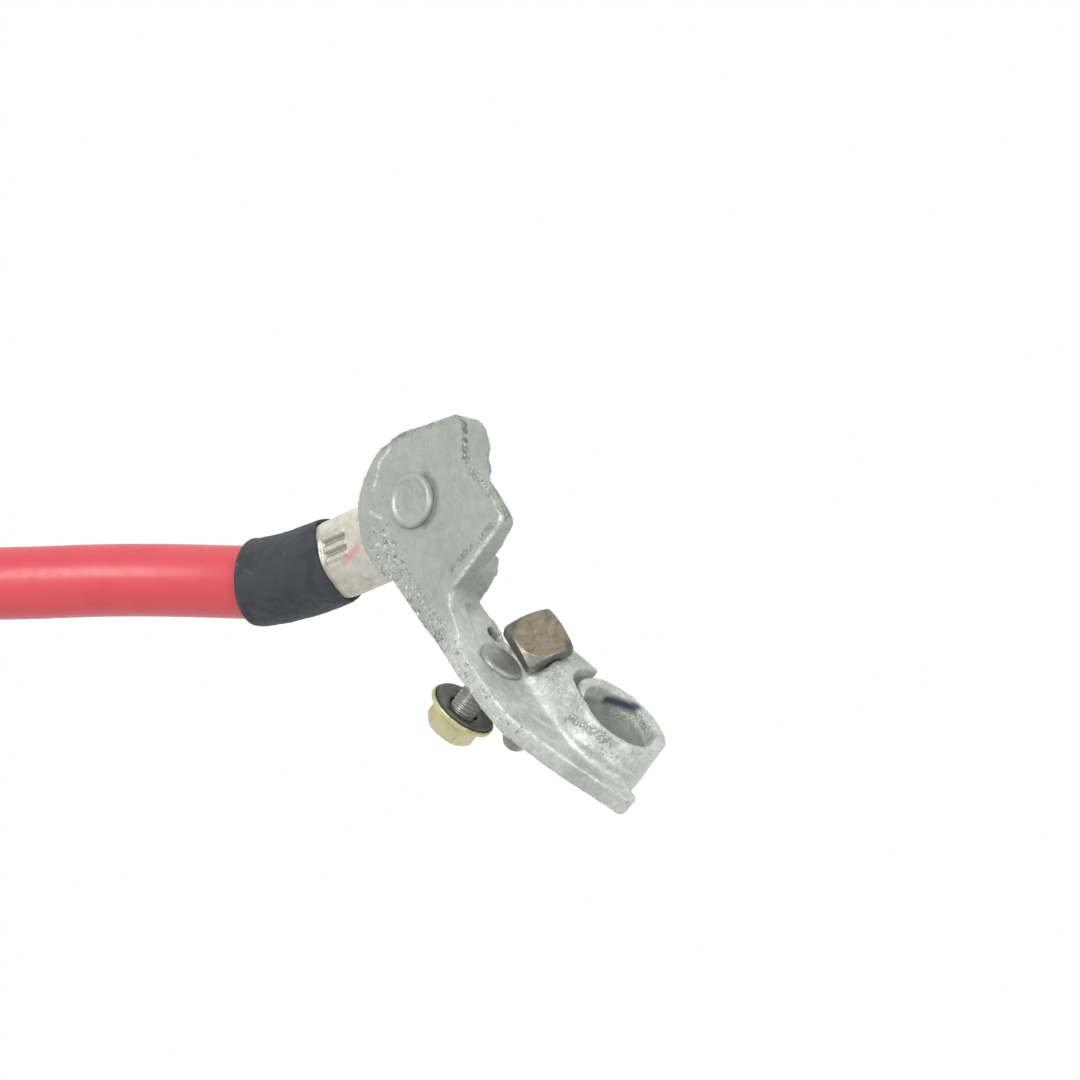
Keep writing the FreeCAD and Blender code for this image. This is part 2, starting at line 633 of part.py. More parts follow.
def build_lug(label, hole):
    """A crimp lug: X runs from the hole down the barrel, and the palm's flush face is z = 0."""
    body = new_body(label)
    palm = sketch_on(body, "XY_Plane", "palm_round", lift="-palm_thick")
    circle(palm, "0", "0", "palm_wide / 2")
    pad(body, palm, "palm_thick")
    neck = sketch_on(body, "XY_Plane", "palm_neck", lift="-palm_thick")
    outline(neck, [("0", "-palm_wide / 2"), ("9", "-palm_wide / 2"), ("9", "palm_wide / 2"),
                   ("0", "palm_wide / 2")])
    pad(body, neck, "palm_thick")
    flat = sketch_on(body, "YZ_Plane", "palm_end", lift="8.5")
    half_round(flat, "(palm_wide - palm_thick) / 2", "palm_thick / 2", "-palm_thick / 2")
    full = sketch_on(body, "YZ_Plane", "barrel_root", lift="barrel_start + 0.8")
    half_round(full, "0.3", "barrel_outer / 2 - 0.4", "-barrel_outer / 2")
    doc.recompute()
    loft = body.newObject("PartDesign::AdditiveLoft", "palm_to_barrel")
    loft.Profile = flat
    loft.Sections = [full]
    loft.Refine = False
    doc.recompute()
    barrel = sketch_on(body, "YZ_Plane", "barrel", lift="barrel_start")
    circle(barrel, "0", "-barrel_outer / 2", "barrel_outer / 2")
    pad(body, barrel, "barrel_end - barrel_start", refine=False)
    socket = sketch_on(body, "YZ_Plane", "socket", lift="barrel_end")
    circle(socket, "0", "-barrel_outer / 2", "conductor_size / 2")
    pocket(body, socket, "crimp_depth")
    eye = sketch_on(body, "XY_Plane", "eye", lift="1")
    circle(eye, "0", "0", hole)
    pocket(body, eye, "palm_thick + 2")
    mark = sketch_on(body, "XY_Plane", "crimp_mark", lift="-0.7")
    outline(mark, [("barrel_end - 10.5", "-3.1"), ("barrel_end - sleeve_lap", "-3.1"),
                   ("barrel_end - sleeve_lap", "3.1"), ("barrel_end - 10.5", "3.1")])
    pocket(body, mark, "2", backwards=True)
    return body


def build_front_lug():
    body = build_lug("cable_lug", "rivet_shank / 2")
    body.Placement = LAY * lug_placement()
    return body


def build_far_lug():
    """The ring lug at the far end: its flush face is down, near the table."""
    body = build_lug("far_lug", "far_hole / 2")
    back = (ROUTE[-2] - ROUTE[-1]).normalize()
    turn = FreeCAD.Rotation(back, V(), V(0, 0, -1), "XZY")
    mouth = V(size("barrel_end"), 0, -size("barrel_outer / 2"))
    body.Placement = FreeCAD.Placement(ROUTE[-1] - turn.multVec(mouth), turn)
    return body


def bend_radius(before, corner, after):
    """The radius of the arc at one corner of the route: 0.45 of the shorter run reaches it."""
    entry, leave = corner - before, after - corner
    turn = entry.getAngle(leave)
    return 0.45 * min(entry.Length, leave.Length) / math.tan(turn / 2)


def rounded_path(points, tail=None):
    """Straight runs joined by tangent arcs, as one wire. A tail ends it soon after the last arc."""
    edges = []
    start = points[0]
    for before, corner, after in zip(points, points[1:], points[2:]):
        entry = (corner - before).normalize()
        leave = (after - corner).normalize()
        reach = 0.45 * min((corner - before).Length, (after - corner).Length)
        begin, end = corner - entry * reach, corner + leave * reach
        radius = bend_radius(before, corner, after)
        inward = (leave - entry).normalize()
        turn = entry.getAngle(leave)
        middle = corner + inward * (radius / math.cos(turn / 2) - radius)
        edges.append(Part.LineSegment(start, begin).toShape())
        edges.append(Part.Arc(begin, middle, end).toShape())
        start = end
    finish = start + leave * tail if tail else points[-1]
    edges.append(Part.LineSegment(start, finish).toShape())
    return Part.Wire(edges)


def tube(path, outer, inner=None):
    """A round tube or rod along a path, checked against its section times its length."""
    first = path.Edges[0]
    start = first.valueAt(first.FirstParameter)
    along = first.tangentAt(first.FirstParameter)
    section = Part.Face(Part.Wire(Part.Circle(start, along, outer).toShape()))
    area = math.pi * outer ** 2
    if inner:
        section = section.cut(Part.Face(Part.Wire(Part.Circle(start, along, inner).toShape())))
        section = section.Faces[0]
        area -= math.pi * inner ** 2
    solid = path.makePipe(section)
    print("  tube length %.1f, volume over section times length %.4f"
          % (path.Length, abs(solid.Volume) / (area * path.Length)))
    return solid


def plain_piece(label, shape):
    """A piece whose shape is made directly."""
    piece = doc.addObject("Part::Feature", label)
    piece.Label = label
    piece.Shape = shape
    return piece


def build_insulation():
    hollow = size("conductor_size / 2 + conductor_gap")
    return plain_piece("cable_insulation",
                       tube(rounded_path(ROUTE), size("cable_outer / 2"), hollow))


def build_conductor():
    """The conductor runs on into both lugs."""
    depth = size("crimp_depth")
    first = ROUTE[0] + (ROUTE[0] - ROUTE[1]).normalize() * depth
    last = ROUTE[-1] + (ROUTE[-1] - ROUTE[-2]).normalize() * depth
    radius = size("conductor_size / 2")
    core = tube(rounded_path(ROUTE), radius)
    ends = [Part.makeCylinder(radius, depth, ROUTE[0], first - ROUTE[0]),
            Part.makeCylinder(radius, depth, ROUTE[-1], last - ROUTE[-1])]
    return plain_piece("cable_conductor", core.fuse(ends).removeSplitter())


def build_sleeve(label, points):
    """A black sleeve over a lug's barrel and the cable's first bend. The points start there."""
    lap = size("sleeve_lap")
    back = (points[0] - points[1]).normalize()
    over_barrel = size("barrel_outer / 2 + 0.05")
    outside = over_barrel + size("sleeve_wall")
    path = rounded_path(points, tail=size("sleeve_tail"))
    sleeve = tube(path, outside, size("cable_outer / 2 + 0.05"))
    band = Part.makeCylinder(outside, lap, points[0], back)
    collar = band.cut(Part.makeCylinder(over_barrel, lap, points[0], back))
    return plain_piece(label, sleeve.fuse(collar).removeSplitter())


def check_document():
    """Stop if any object of the document failed."""
    for item in doc.Objects:
        if "Invalid" in item.State or "Error" in item.State:
            raise RuntimeError("%s failed: %s" % (item.Name, item.State))


def print_bends():
    """The cable's bend radii, against its diameter."""
    for number, corner in enumerate(zip(ROUTE, ROUTE[1:], ROUTE[2:]), start=1):
        radius = bend_radius(*corner)
        print("bend %d: radius %.1f mm, %.1f diameters" % (number, radius, radius / CABLE))


CABLE = size("cable_outer")


def check_mouth():
    """The route has to start in the middle of the front barrel's mouth, along its axis."""
    place = LAY * lug_placement()
    mouth = place.multVec(V(size("barrel_end"), 0, -size("barrel_outer / 2")))
    further = place.multVec(V(size("barrel_end") + 17, 0, -size("barrel_outer / 2")))
    print("barrel's mouth at %s, axis through %s" % (mouth, further))
    if (mouth - ROUTE[0]).Length > 0.01 or (further - ROUTE[1]).Length > 0.01:
        raise RuntimeError("the route no longer starts in the barrel's mouth")


def main():
    print_bends()
    check_mouth()
    pieces = [build_terminal(), build_rivet(), build_stud(), build_washer(), build_flange_nut(),
              build_clamp_bolt(), build_clamp_nut(), build_front_lug(), build_far_lug(),
              build_insulation(), build_conductor(), build_sleeve("front_sleeve", ROUTE[:3]),
              build_sleeve("far_sleeve", ROUTE[:-4:-1])]
    doc.recompute()
    check_document()
    os.makedirs("parts", exist_ok=True)
    for piece in pieces:
        shape = piece.Shape
        if shape.isNull() or not shape.isValid():
            raise RuntimeError("%s has no valid shape" % piece.Label)
        print(piece.Label, "solids", len(shape.Solids), "volume %.1f" % shape.Volume)
        shape.exportStep("parts/%s.step" % piece.Label)


main()
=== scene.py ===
# %% [markdown]
# # Battery cable connector
#
# A cast clamp terminal for a battery post, riveted to a thick red cable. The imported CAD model
# says where every piece is and how it moves. This script gives the pieces their looks: the soft
# edges of the casting, the threads, the crimped lug, the wrinkled sleeve, and the materials.
#
# Lengths in the lists below are millimetres, in the same frames as the CAD source.

import math

import bpy
import numpy as np
from mathutils import Matrix, Vector, noise


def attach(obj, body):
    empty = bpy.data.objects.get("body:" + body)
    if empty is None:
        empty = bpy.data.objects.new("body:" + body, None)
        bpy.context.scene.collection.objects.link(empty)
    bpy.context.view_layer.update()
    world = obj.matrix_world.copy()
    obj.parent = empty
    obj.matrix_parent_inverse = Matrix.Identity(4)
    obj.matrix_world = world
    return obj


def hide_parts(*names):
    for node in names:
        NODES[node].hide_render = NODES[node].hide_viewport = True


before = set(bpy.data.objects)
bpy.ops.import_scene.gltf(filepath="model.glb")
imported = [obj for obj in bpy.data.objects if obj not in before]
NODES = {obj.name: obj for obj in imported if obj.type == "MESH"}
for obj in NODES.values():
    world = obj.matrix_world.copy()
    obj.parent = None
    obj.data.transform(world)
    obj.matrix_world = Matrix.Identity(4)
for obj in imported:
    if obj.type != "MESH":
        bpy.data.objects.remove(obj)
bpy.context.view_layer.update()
MM = 0.001

# %% [markdown]
# ## The camera
#
# It looks straight down on the table, from about a metre above it, as the photograph does.

# %%
FLOOR = -73.05


def make_camera():
    """A long lens, pointing straight down with +Y up in the picture."""
    data = bpy.data.cameras.new("camera")
    data.sensor_width = 36
    data.lens = 160
    data.clip_start, data.clip_end = 0.05, 20
    camera = bpy.data.objects.new("camera", data)
    camera.location = Vector((-13.19, 40.85, 999.4)) * MM
    bpy.context.scene.collection.objects.link(camera)
    bpy.context.scene.camera = camera


make_camera()

# %% [markdown]
# ## The cable
#
# The route's points are those of the CAD source. They are the control points of a smooth curve:
# out of the lug's barrel, down to the table, and round one loose loop to the ring lug.

# %%
ROUTE = [
    (-56.993, 36.516, -41.503), (-69.461, 31.277, -51.803), (-85.900, 31.800, -59.100),
    (-107.40, 32.100, -63.600), (-133.40, 31.000, -64.990), (-170.00, 31.500, -64.990),
    (-216.00, 30.000, -64.990), (-270.00, 32.000, -64.990), (-306.80, 47.600, -64.990),
    (-334.80, 76.100, -64.990), (-349.60, 113.20, -64.990), (-349.35, 152.20, -64.990),
    (-334.20, 188.10, -64.990), (-306.40, 215.50, -64.990), (-270.30, 229.85, -64.990),
    (-231.30, 229.45, -64.990), (-195.40, 214.50, -64.990), (-167.80, 186.90, -64.990),
    (-154.00, 152.60, -63.600), (-153.40, 118.60, -62.800), (-159.20, 93.500, -62.750),
]
CABLE_RADIUS = 8.05


def route_curve(name, bevel):
    """The route as one smooth spline, with a round section whose radius its points carry."""
    data = bpy.data.curves.new(name, "CURVE")
    data.dimensions = "3D"
    data.resolution_u = 12
    data.bevel_depth = 1 if bevel else 0
    data.bevel_resolution = 12
    data.use_fill_caps = bevel > 0
    spline = data.splines.new("NURBS")
    spline.points.add(len(ROUTE) - 1)
    for point, place in zip(spline.points, ROUTE):
        point.co = (*(Vector(place) * MM), 1)
        point.radius = bevel * MM
    spline.order_u = 3
    spline.use_endpoint_u = True
    return data


def link(name, data):
    """A new object at the origin."""
    piece = bpy.data.objects.new(name, data)
    bpy.context.scene.collection.objects.link(piece)
    return piece


def centreline():
    """Points along the cable's own smooth curve, as Blender evaluates it, in millimetres."""
    probe = link("probe", route_curve("probe", 0))
    mesh = bpy.data.meshes.new_from_object(probe)
    points = [vertex.co / MM for vertex in mesh.vertices]
    bpy.data.objects.remove(probe)
    bpy.data.meshes.remove(mesh)
    return points


cable = link("cable", route_curve("cable", CABLE_RADIUS))
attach(cable, "terminal")
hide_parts("cable_insulation")
LINE = centreline()

# %% [markdown]
# ## Frames of the terminal
#
# The casting and its fittings are drawn in the terminal's own frame: X along the neck, Z along
# the post bore, with the origin in the auxiliary stud's seat. These matrices lay such a mesh on
# the table.

# %%
POST = Vector((0.564, 0.722, 0.400)).normalized()
NECK = Vector((0.497, -0.683, 0.532))
NECK = (NECK - POST * NECK.dot(POST)).normalized()
ORIGIN_IN_TERMINAL = Vector((21.4, 15.4, 1.45))


def lay_terminal():
    """From millimetres in the terminal's frame to metres on the table."""
    turn = Matrix((NECK, POST.cross(NECK), POST)).transposed()
    place = Matrix.Translation(-(turn @ ORIGIN_IN_TERMINAL)) @ turn.to_4x4()
    return Matrix.Scale(MM, 4) @ place


def along(direction, up, place):
    """A frame inside the terminal's, with X along one line and Z as near another as it can be."""
    x = Vector(direction).normalized()
    z = Vector(up)
    z = (z - x * z.dot(x)).normalized()
    return Matrix.Translation(place) @ Matrix((x, z.cross(x), z)).transposed().to_4x4()


TERMINAL = lay_terminal()
BOLT_HEAD = (0.5, 4.3, 9.4)
BOLT_TILT, BOLT_LEAN = math.radians(37.6), math.radians(8.2)
BOLT = (TERMINAL @ Matrix.Translation(BOLT_HEAD)
        @ Matrix.Rotation(BOLT_TILT, 4, "X") @ Matrix.Rotation(BOLT_LEAN, 4, "Y"))
LUG_ANGLE = math.radians(61.5)
RIVET_X, RIVET_Z = -36.9, 10.7
PLATE_FRONT, PLATE_BACK = -8.9, -3.7
FRONT_LUG = TERMINAL @ along((-math.cos(LUG_ANGLE), 0, -math.sin(LUG_ANGLE)), (0, -1, 0),
                             (RIVET_X, PLATE_BACK, RIVET_Z))
RIVET = TERMINAL @ along((1, 0, 0), (0, -1, 0), (RIVET_X, PLATE_FRONT, RIVET_Z))

# %% [markdown]
# ## Mesh tools

# %%


def coordinates(mesh):
    """All vertex places of a mesh as one array."""
    flat = np.empty(len(mesh.vertices) * 3, np.float32)
    mesh.vertices.foreach_get("co", flat)
    return flat.reshape(-1, 3)


def normals(mesh):
    """All vertex normals of a mesh as one array."""
    flat = np.empty(len(mesh.vertices) * 3, np.float32)
    mesh.vertices.foreach_get("normal", flat)
    return flat.reshape(-1, 3)


def move_vertices(mesh, places):
    """Give the vertices new places."""
    mesh.vertices.foreach_set("co", places.astype(np.float32).ravel())
    mesh.update()


def places_in(mesh, frame_matrix):
    """All vertex places of a mesh in one of the frames above, in millimetres."""
    back = np.array(frame_matrix.inverted())
    return coordinates(mesh) @ back[:3, :3].T + back[:3, 3]


def store(mesh, name, values):
    """Keep a value per vertex for a material to read."""
    layer = mesh.attributes.new(name, "FLOAT", "POINT")
    layer.data.foreach_set("value", np.asarray(values, np.float32))


def near_line(places, line):
    """How far each place is from a line through the given points."""
    best = np.full(len(places), 1e9)
    for a, b in zip(line, line[1:]):
        a, run = np.array(a), np.array(b) - np.array(a)
        share = np.clip(((places - a) @ run) / (run @ run), 0, 1)
        best = np.minimum(best, np.linalg.norm(places - a - share[:, None] * run, axis=1))
    return best


def neighbour_mean(mesh, values):
    """The mean of a value, or of a row of values, over each vertex's neighbours."""
    ends = np.empty(len(mesh.edges) * 2, np.int32)
    mesh.edges.foreach_get("vertices", ends)
    first, second = ends[0::2], ends[1::2]
    count = np.bincount(ends, minlength=len(values)).astype(float)
    columns = values.reshape(len(values), -1)
    means = [(np.bincount(first, columns[second, k], len(values))
              + np.bincount(second, columns[first, k], len(values))) / count
             for k in range(columns.shape[1])]
    return np.stack(means, 1).reshape(values.shape)


def mark_edges(mesh, gain, rounds=3):
    """Store as "edge" how sharp the surface is: 1 on an edge, 0.5 where flat, 0 in a corner."""
    places = coordinates(mesh)
    bulge = ((places - neighbour_mean(mesh, places)) * normals(mesh)).sum(1)
    for _ in range(rounds):
        bulge = (bulge + neighbour_mean(mesh, bulge)) / 2
    store(mesh, "edge", np.clip(0.5 + bulge * gain / MM, 0, 1))


def fill_corners(mesh, rounds):
    """Let the surface creep out of its inner corners, as the fillets of a casting do."""
    for _ in range(rounds):
        places = coordinates(mesh)
        pull = neighbour_mean(mesh, places) - places
        hollow = (pull * normals(mesh)).sum(1) / MM
        share = np.clip((hollow - 0.004) / 0.012, 0, 1)
        move_vertices(mesh, places + pull * (0.9 * share)[:, None])


def round_off(mesh, frame_matrix, spots, rounds):
    """Soften the surface more near some spots: (place, reach), in a frame's millimetres."""
    places = places_in(mesh, frame_matrix)
    share = np.zeros(len(places))
    for spot, reach in spots:
        near = 1 - np.linalg.norm(places - np.array(spot), axis=1) / reach
        share = np.maximum(share, np.clip(near * 2, 0, 1))
    for _ in range(rounds):
        places = coordinates(mesh)
        pull = neighbour_mean(mesh, places) - places
        move_vertices(mesh, places + pull * (0.6 * share)[:, None])


def softened(node, voxel, rounds):
    """A CAD node's shape as one even mesh with soft edges, as cast metal and metal shaped in a
    press have.
    """
    source = link("source", NODES[node].data.copy())
    even = source.modifiers.new("even", "REMESH")
    even.mode = "VOXEL"
    even.voxel_size = voxel * MM
    soft = source.modifiers.new("soft", "SMOOTH")
    soft.factor = 0.5
    soft.iterations = rounds
    bpy.context.view_layer.update()
    evaluated = source.evaluated_get(bpy.context.evaluated_depsgraph_get())
    mesh = bpy.data.meshes.new_from_object(evaluated)
    bpy.data.objects.remove(source)
    mesh.shade_smooth()
    return mesh


def swell(mesh, layers, seed):
    """Move the surface by layers of smooth noise: (grain size, height) in millimetres."""
    places = coordinates(mesh)
    shift = Vector((seed * 7.1, seed * 3.7, seed * 5.3))
    height = np.zeros(len(places))
    for grain, reach in layers:
        scale = 1 / (grain * MM)
        height += [reach * noise.noise(Vector(p) * scale + shift) for p in places.tolist()]
    move_vertices(mesh, places + normals(mesh) * (height * MM)[:, None])


def grid_mesh(name, rings, caps=True):
    """A skin over closed rings of points, with flat fans over both ends if it has caps."""
    rings = [list(ring) for ring in rings]
    count = len(rings[0])
    points = [point for ring in rings for point in ring]
    faces = []
    for row in range(len(rings) - 1):
        for k in range(count):
            a, b = row * count + k, row * count + (k + 1) % count
            faces.append((a, b, b + count, a + count))
    if caps:
        for row, order in ((0, -1), (len(rings) - 1, 1)):
            middle = sum((Vector(p) for p in rings[row]), Vector()) / count
            points.append(middle)
            for k in range(count):
                pair = (row * count + k, row * count + (k + 1) % count)
                faces.append((*pair[::order], len(points) - 1))
    mesh = bpy.data.meshes.new(name)
    mesh.from_pydata([tuple(p) for p in points], [], faces)
    mesh.shade_smooth()
    return mesh


def turned(name, profile, steps=96):
    """A solid turned round Z from (radius, height) pairs that start and end on the axis."""
    rings = [[(r * math.cos(a), r * math.sin(a), z)
              for a in (2 * math.pi * k / steps for k in range(steps))] for r, z in profile]
    return grid_mesh(name, rings)


def rounded_profile(corners, bevel, steps=3):
    """The profile with each corner cut round. A corner is (radius, height)."""
    out = [corners[0]]
    for before, corner, after in zip(corners, corners[1:], corners[2:]):
        here = Vector(corner)
        entry, leave = Vector(before) - here, Vector(after) - here
        reach = min(bevel, 0.45 * entry.length, 0.45 * leave.length)
        start, end = here + entry.normalized() * reach, here + leave.normalized() * reach
        for k in range(steps + 1):
            t = k / steps
            out.append(tuple(start * (1 - t) ** 2 + here * 2 * t * (1 - t) + end * t ** 2))
    return out + [corners[-1]]


def threaded(name, top, bottom, radius, tip=0.9, pitch=1.0, steps=40):
    """A screw's shank along Z with a real helical thread that fades out at both ends."""
    depth = 0.45 * pitch
    rows = int((top - bottom) / pitch * 10)
    rings = []
    for row in range(rows + 1):
        z = top + (bottom - top) * row / rows
        fade = min(1, (top - z) / pitch, max(0, (z - bottom - 0.2) / pitch))
        narrow = max(0, tip - (z - bottom))
        ring = []
        for k in range(steps):
            turn = k / steps
            phase = (z / pitch - turn) % 1
            groove = max(0, 1 - abs(phase - 0.5) / 0.44)
            r = radius - depth * fade * min(1, groove * 1.15)
            r = min(r, radius - narrow)
            a = 2 * math.pi * turn
            ring.append((r * math.cos(a), r * math.sin(a), z))
        rings.append(ring)
    return grid_mesh(name, rings)


def joined(name, *meshes):
    """Several meshes as one."""
    points, faces = [], []
    for mesh in meshes:
        start = len(points)
        points += [v.co[:] for v in mesh.vertices]
        faces += [tuple(start + k for k in p.vertices) for p in mesh.polygons]
    out = bpy.data.meshes.new(name)
    out.from_pydata(points, [], faces)
    out.shade_smooth()
    return out


SHARP = math.radians(38)


def add_piece(name, mesh, body, slot, material, *nodes, place=None):
    """Put a mesh in the scene on its body, in the stead of CAD nodes."""
    if place:
        mesh.transform(place)
    mesh.set_sharp_from_angle(angle=SHARP)
    piece = link(name, mesh)
    mesh.materials.clear()
    mesh.materials.append(material)
    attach(piece, body)
    if nodes:
        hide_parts(*nodes)
    return piece

# %% [markdown]
# ## Materials
#
# Every pattern is procedural and sits on the object's own coordinates, in metres. The shared
# patterns are node groups: a mottle, small pits, and fine scratches.

# %%


def node(tree, kind, inputs=None, **settings):
    """Add a node. An input is a value, or another node's output to link."""
    made = tree.nodes.new(kind)
    for name, value in settings.items():
        setattr(made, name, value)
    for name, value in (inputs or {}).items():
        if isinstance(value, bpy.types.NodeSocket):
            tree.links.new(value, made.inputs[name])
        else:
            made.inputs[name].default_value = value
    return made


def maths(tree, operation, a, b=0.0):
    """One arithmetic step, kept between 0 and 1."""
    made = node(tree, "ShaderNodeMath", {0: a, 1: b}, operation=operation, use_clamp=True)
    return made.outputs[0]


def ramp(tree, value, start, end, low=0.0, high=1.0):
    """Stretch a stretch of a value to a new range, smoothly."""
    made = node(tree, "ShaderNodeMapRange", {"Value": value, "From Min": start, "From Max": end,
                                             "To Min": low, "To Max": high},
                interpolation_type="SMOOTHSTEP")
    return made.outputs["Result"]


def blend(tree, share, a, b):
    """Mix two colours by a share from 0 to 1."""
    made = node(tree, "ShaderNodeMix", {0: share}, data_type="RGBA")
    for socket, value in ((made.inputs[6], a), (made.inputs[7], b)):
        if isinstance(value, bpy.types.NodeSocket):
            tree.links.new(value, socket)
        else:
            socket.default_value = value
    return made.outputs[2]


def colour(code):
    """A colour from its screen value, such as '#b5bab5'."""
    parts = [int(code[k:k + 2], 16) / 255 for k in (1, 3, 5)]
    return (*[c / 12.92 if c <= 0.04045 else ((c + 0.055) / 1.055) ** 2.4 for c in parts], 1)


def pattern_group(name, sockets):
    """An empty node group with these inputs and one Mask output. Returns it with its ends."""
    group = bpy.data.node_groups.new(name, "ShaderNodeTree")
    for label, kind, value in sockets:
        made = group.interface.new_socket(label, in_out="INPUT", socket_type=kind)
        if value is not None:
            made.default_value = value
    group.interface.new_socket("Mask", in_out="OUTPUT", socket_type="NodeSocketFloat")
    return group, group.nodes.new("NodeGroupInput"), group.nodes.new("NodeGroupOutput")


def mottle_group():
    """Soft uneven patches."""
    group, start, end = pattern_group("Mottle", [
        ("Vector", "NodeSocketVector", None), ("Grain", "NodeSocketFloat", 200.0),
        ("Share", "NodeSocketFloat", 0.5)])
    pattern = node(group, "ShaderNodeTexNoise", {
        "Vector": start.outputs["Vector"], "Scale": start.outputs["Grain"], "Detail": 5.0,
        "Roughness": 0.62, "Distortion": 0.6})
    low = node(group, "ShaderNodeMath", {0: 0.72, 1: start.outputs["Share"]},
               operation="SUBTRACT").outputs[0]
    high = node(group, "ShaderNodeMath", {0: low, 1: 0.28}, operation="ADD").outputs[0]
    group.links.new(ramp(group, pattern.outputs["Fac"], low, high), end.inputs["Mask"])
    return group


def pits_group():
    """Small pits and specks, gathered in some places."""
    group, start, end = pattern_group("Pits", [
        ("Vector", "NodeSocketVector", None), ("Grain", "NodeSocketFloat", 1500.0),
        ("Share", "NodeSocketFloat", 0.3)])
    cells = node(group, "ShaderNodeTexVoronoi", {
        "Vector": start.outputs["Vector"], "Scale": start.outputs["Grain"], "Randomness": 1.0})
    dots = ramp(group, cells.outputs["Distance"], 0.16, 0.34, 1.0, 0.0)
    spread = node(group, "ShaderNodeMath", {0: start.outputs["Grain"], 1: 0.23},
                  operation="MULTIPLY").outputs[0]
    field = node(group, "ShaderNodeTexNoise", {
        "Vector": start.outputs["Vector"], "Scale": spread, "Detail": 3.0})
    low = node(group, "ShaderNodeMath", {0: 0.8, 1: start.outputs["Share"]},
               operation="SUBTRACT").outputs[0]
    high = node(group, "ShaderNodeMath", {0: low, 1: 0.12}, operation="ADD").outputs[0]
    here = ramp(group, field.outputs["Fac"], low, high)
    group.links.new(maths(group, "MULTIPLY", dots, here), end.inputs["Mask"])
    return group


def scratch_group():
    """Fine scratches along one direction."""
    group, start, end = pattern_group("Scratches", [
        ("Vector", "NodeSocketVector", None), ("Grain", "NodeSocketFloat", 900.0),
        ("Stretch", "NodeSocketVector", (1.0, 0.08, 1.0)), ("Turn", "NodeSocketFloat", 0.6)])
    turned_place = node(group, "ShaderNodeVectorRotate", {
        "Vector": start.outputs["Vector"], "Angle": start.outputs["Turn"],
        "Axis": (0.35, 0.4, 0.85)})
    drawn = node(group, "ShaderNodeVectorMath", {0: turned_place.outputs[0],
                                                 1: start.outputs["Stretch"]},
                 operation="MULTIPLY")
    lines = node(group, "ShaderNodeTexNoise", {
        "Vector": drawn.outputs[0], "Scale": start.outputs["Grain"], "Detail": 2.0})
    thin = ramp(group, lines.outputs["Fac"], 0.66, 0.71)
    field = node(group, "ShaderNodeTexNoise", {"Vector": start.outputs["Vector"], "Scale": 160.0})
    here = ramp(group, field.outputs["Fac"], 0.5, 0.62)
    group.links.new(maths(group, "MULTIPLY", thin, here), end.inputs["Mask"])
    return group


MOTTLE, PITS, SCRATCHES = mottle_group(), pits_group(), scratch_group()


def new_material(name):
    """A material with its tree, its Principled shader, and the object's coordinates."""
    material = bpy.data.materials.new(name)
    material.use_nodes = True
    tree = material.node_tree
    shader = next(n for n in tree.nodes if n.type == "BSDF_PRINCIPLED")
    place = tree.nodes.new("ShaderNodeTexCoord").outputs["Object"]
    return material, tree, shader, place


def mask(tree, group, place, **inputs):
    """A pattern group's mask, with its inputs set."""
    made = node(tree, "ShaderNodeGroup", node_tree=group)
    tree.links.new(place, made.inputs["Vector"])
    for name, value in inputs.items():
        made.inputs[name].default_value = value
    return made.outputs["Mask"]


def bump(tree, height, distance, strength=1.0, under=None):
    """A normal from a height, distance in millimetres."""
    made = node(tree, "ShaderNodeBump", {"Height": height, "Distance": distance * MM,
                                         "Strength": strength})
    if under:
        tree.links.new(under, made.inputs["Normal"])
    return made.outputs["Normal"]


def fine_noise(tree, place, scale, detail=3.0):
    """A plain fine noise."""
    return node(tree, "ShaderNodeTexNoise", {"Vector": place, "Scale": scale,
                                             "Detail": detail}).outputs["Fac"]


def finish_material(tree, shader, base, roughness, metallic, normal=None, specular=0.5):
    """Set the shader's main inputs. Each is a value or an output."""
    for name, value in (("Base Color", base), ("Roughness", roughness), ("Metallic", metallic),
                        ("Normal", normal), ("Specular IOR Level", specular)):
        if value is None:
            continue
        if isinstance(value, bpy.types.NodeSocket):
            tree.links.new(value, shader.inputs[name])
        else:
            shader.inputs[name].default_value = value


def attribute(tree, name):
    """A value that the mesh stores per vertex."""
    return node(tree, "ShaderNodeAttribute", attribute_name=name).outputs["Fac"]


def zinc_ground(tree, place, edge):
    """The casting's plain greys: head plate and paler neck, pale outer edges that are partly wear
    and partly a painted highlight, and painted shade in the inner corners.
    """
    pale = attribute(tree, "pale")
    broad = mask(tree, MOTTLE, place, Grain=95.0, Share=0.42)
    fine = mask(tree, MOTTLE, place, Grain=520.0, Share=0.38)
    plate = blend(tree, broad, colour("#a3a9a1"), colour("#b0b5ae"))
    neck = blend(tree, broad, colour("#b3b7ae"), colour("#cfd2cc"))
    base = blend(tree, pale, plate, neck)
    depth = maths(tree, "ADD", 0.25, maths(tree, "MULTIPLY", pale, 0.12))
    base = blend(tree, maths(tree, "MULTIPLY", fine, depth), base, colour("#8d938c"))
    # Paler on the outer edges: partly wear, partly a painted highlight.
    edge_wear_and_highlight = maths(tree, "MULTIPLY", ramp(tree, edge, 0.6, 0.84),
                 ramp(tree, fine_noise(tree, place, 420.0), 0.4, 0.6))
    base = blend(tree, edge_wear_and_highlight, base, colour("#e0e3df"))
    # Painted shade: darker in the inner corners.
    corner_shade = maths(tree, "MULTIPLY", ramp(tree, edge, 0.45, 0.2), 0.4)
    return blend(tree, corner_shade, base, colour("#848980"))


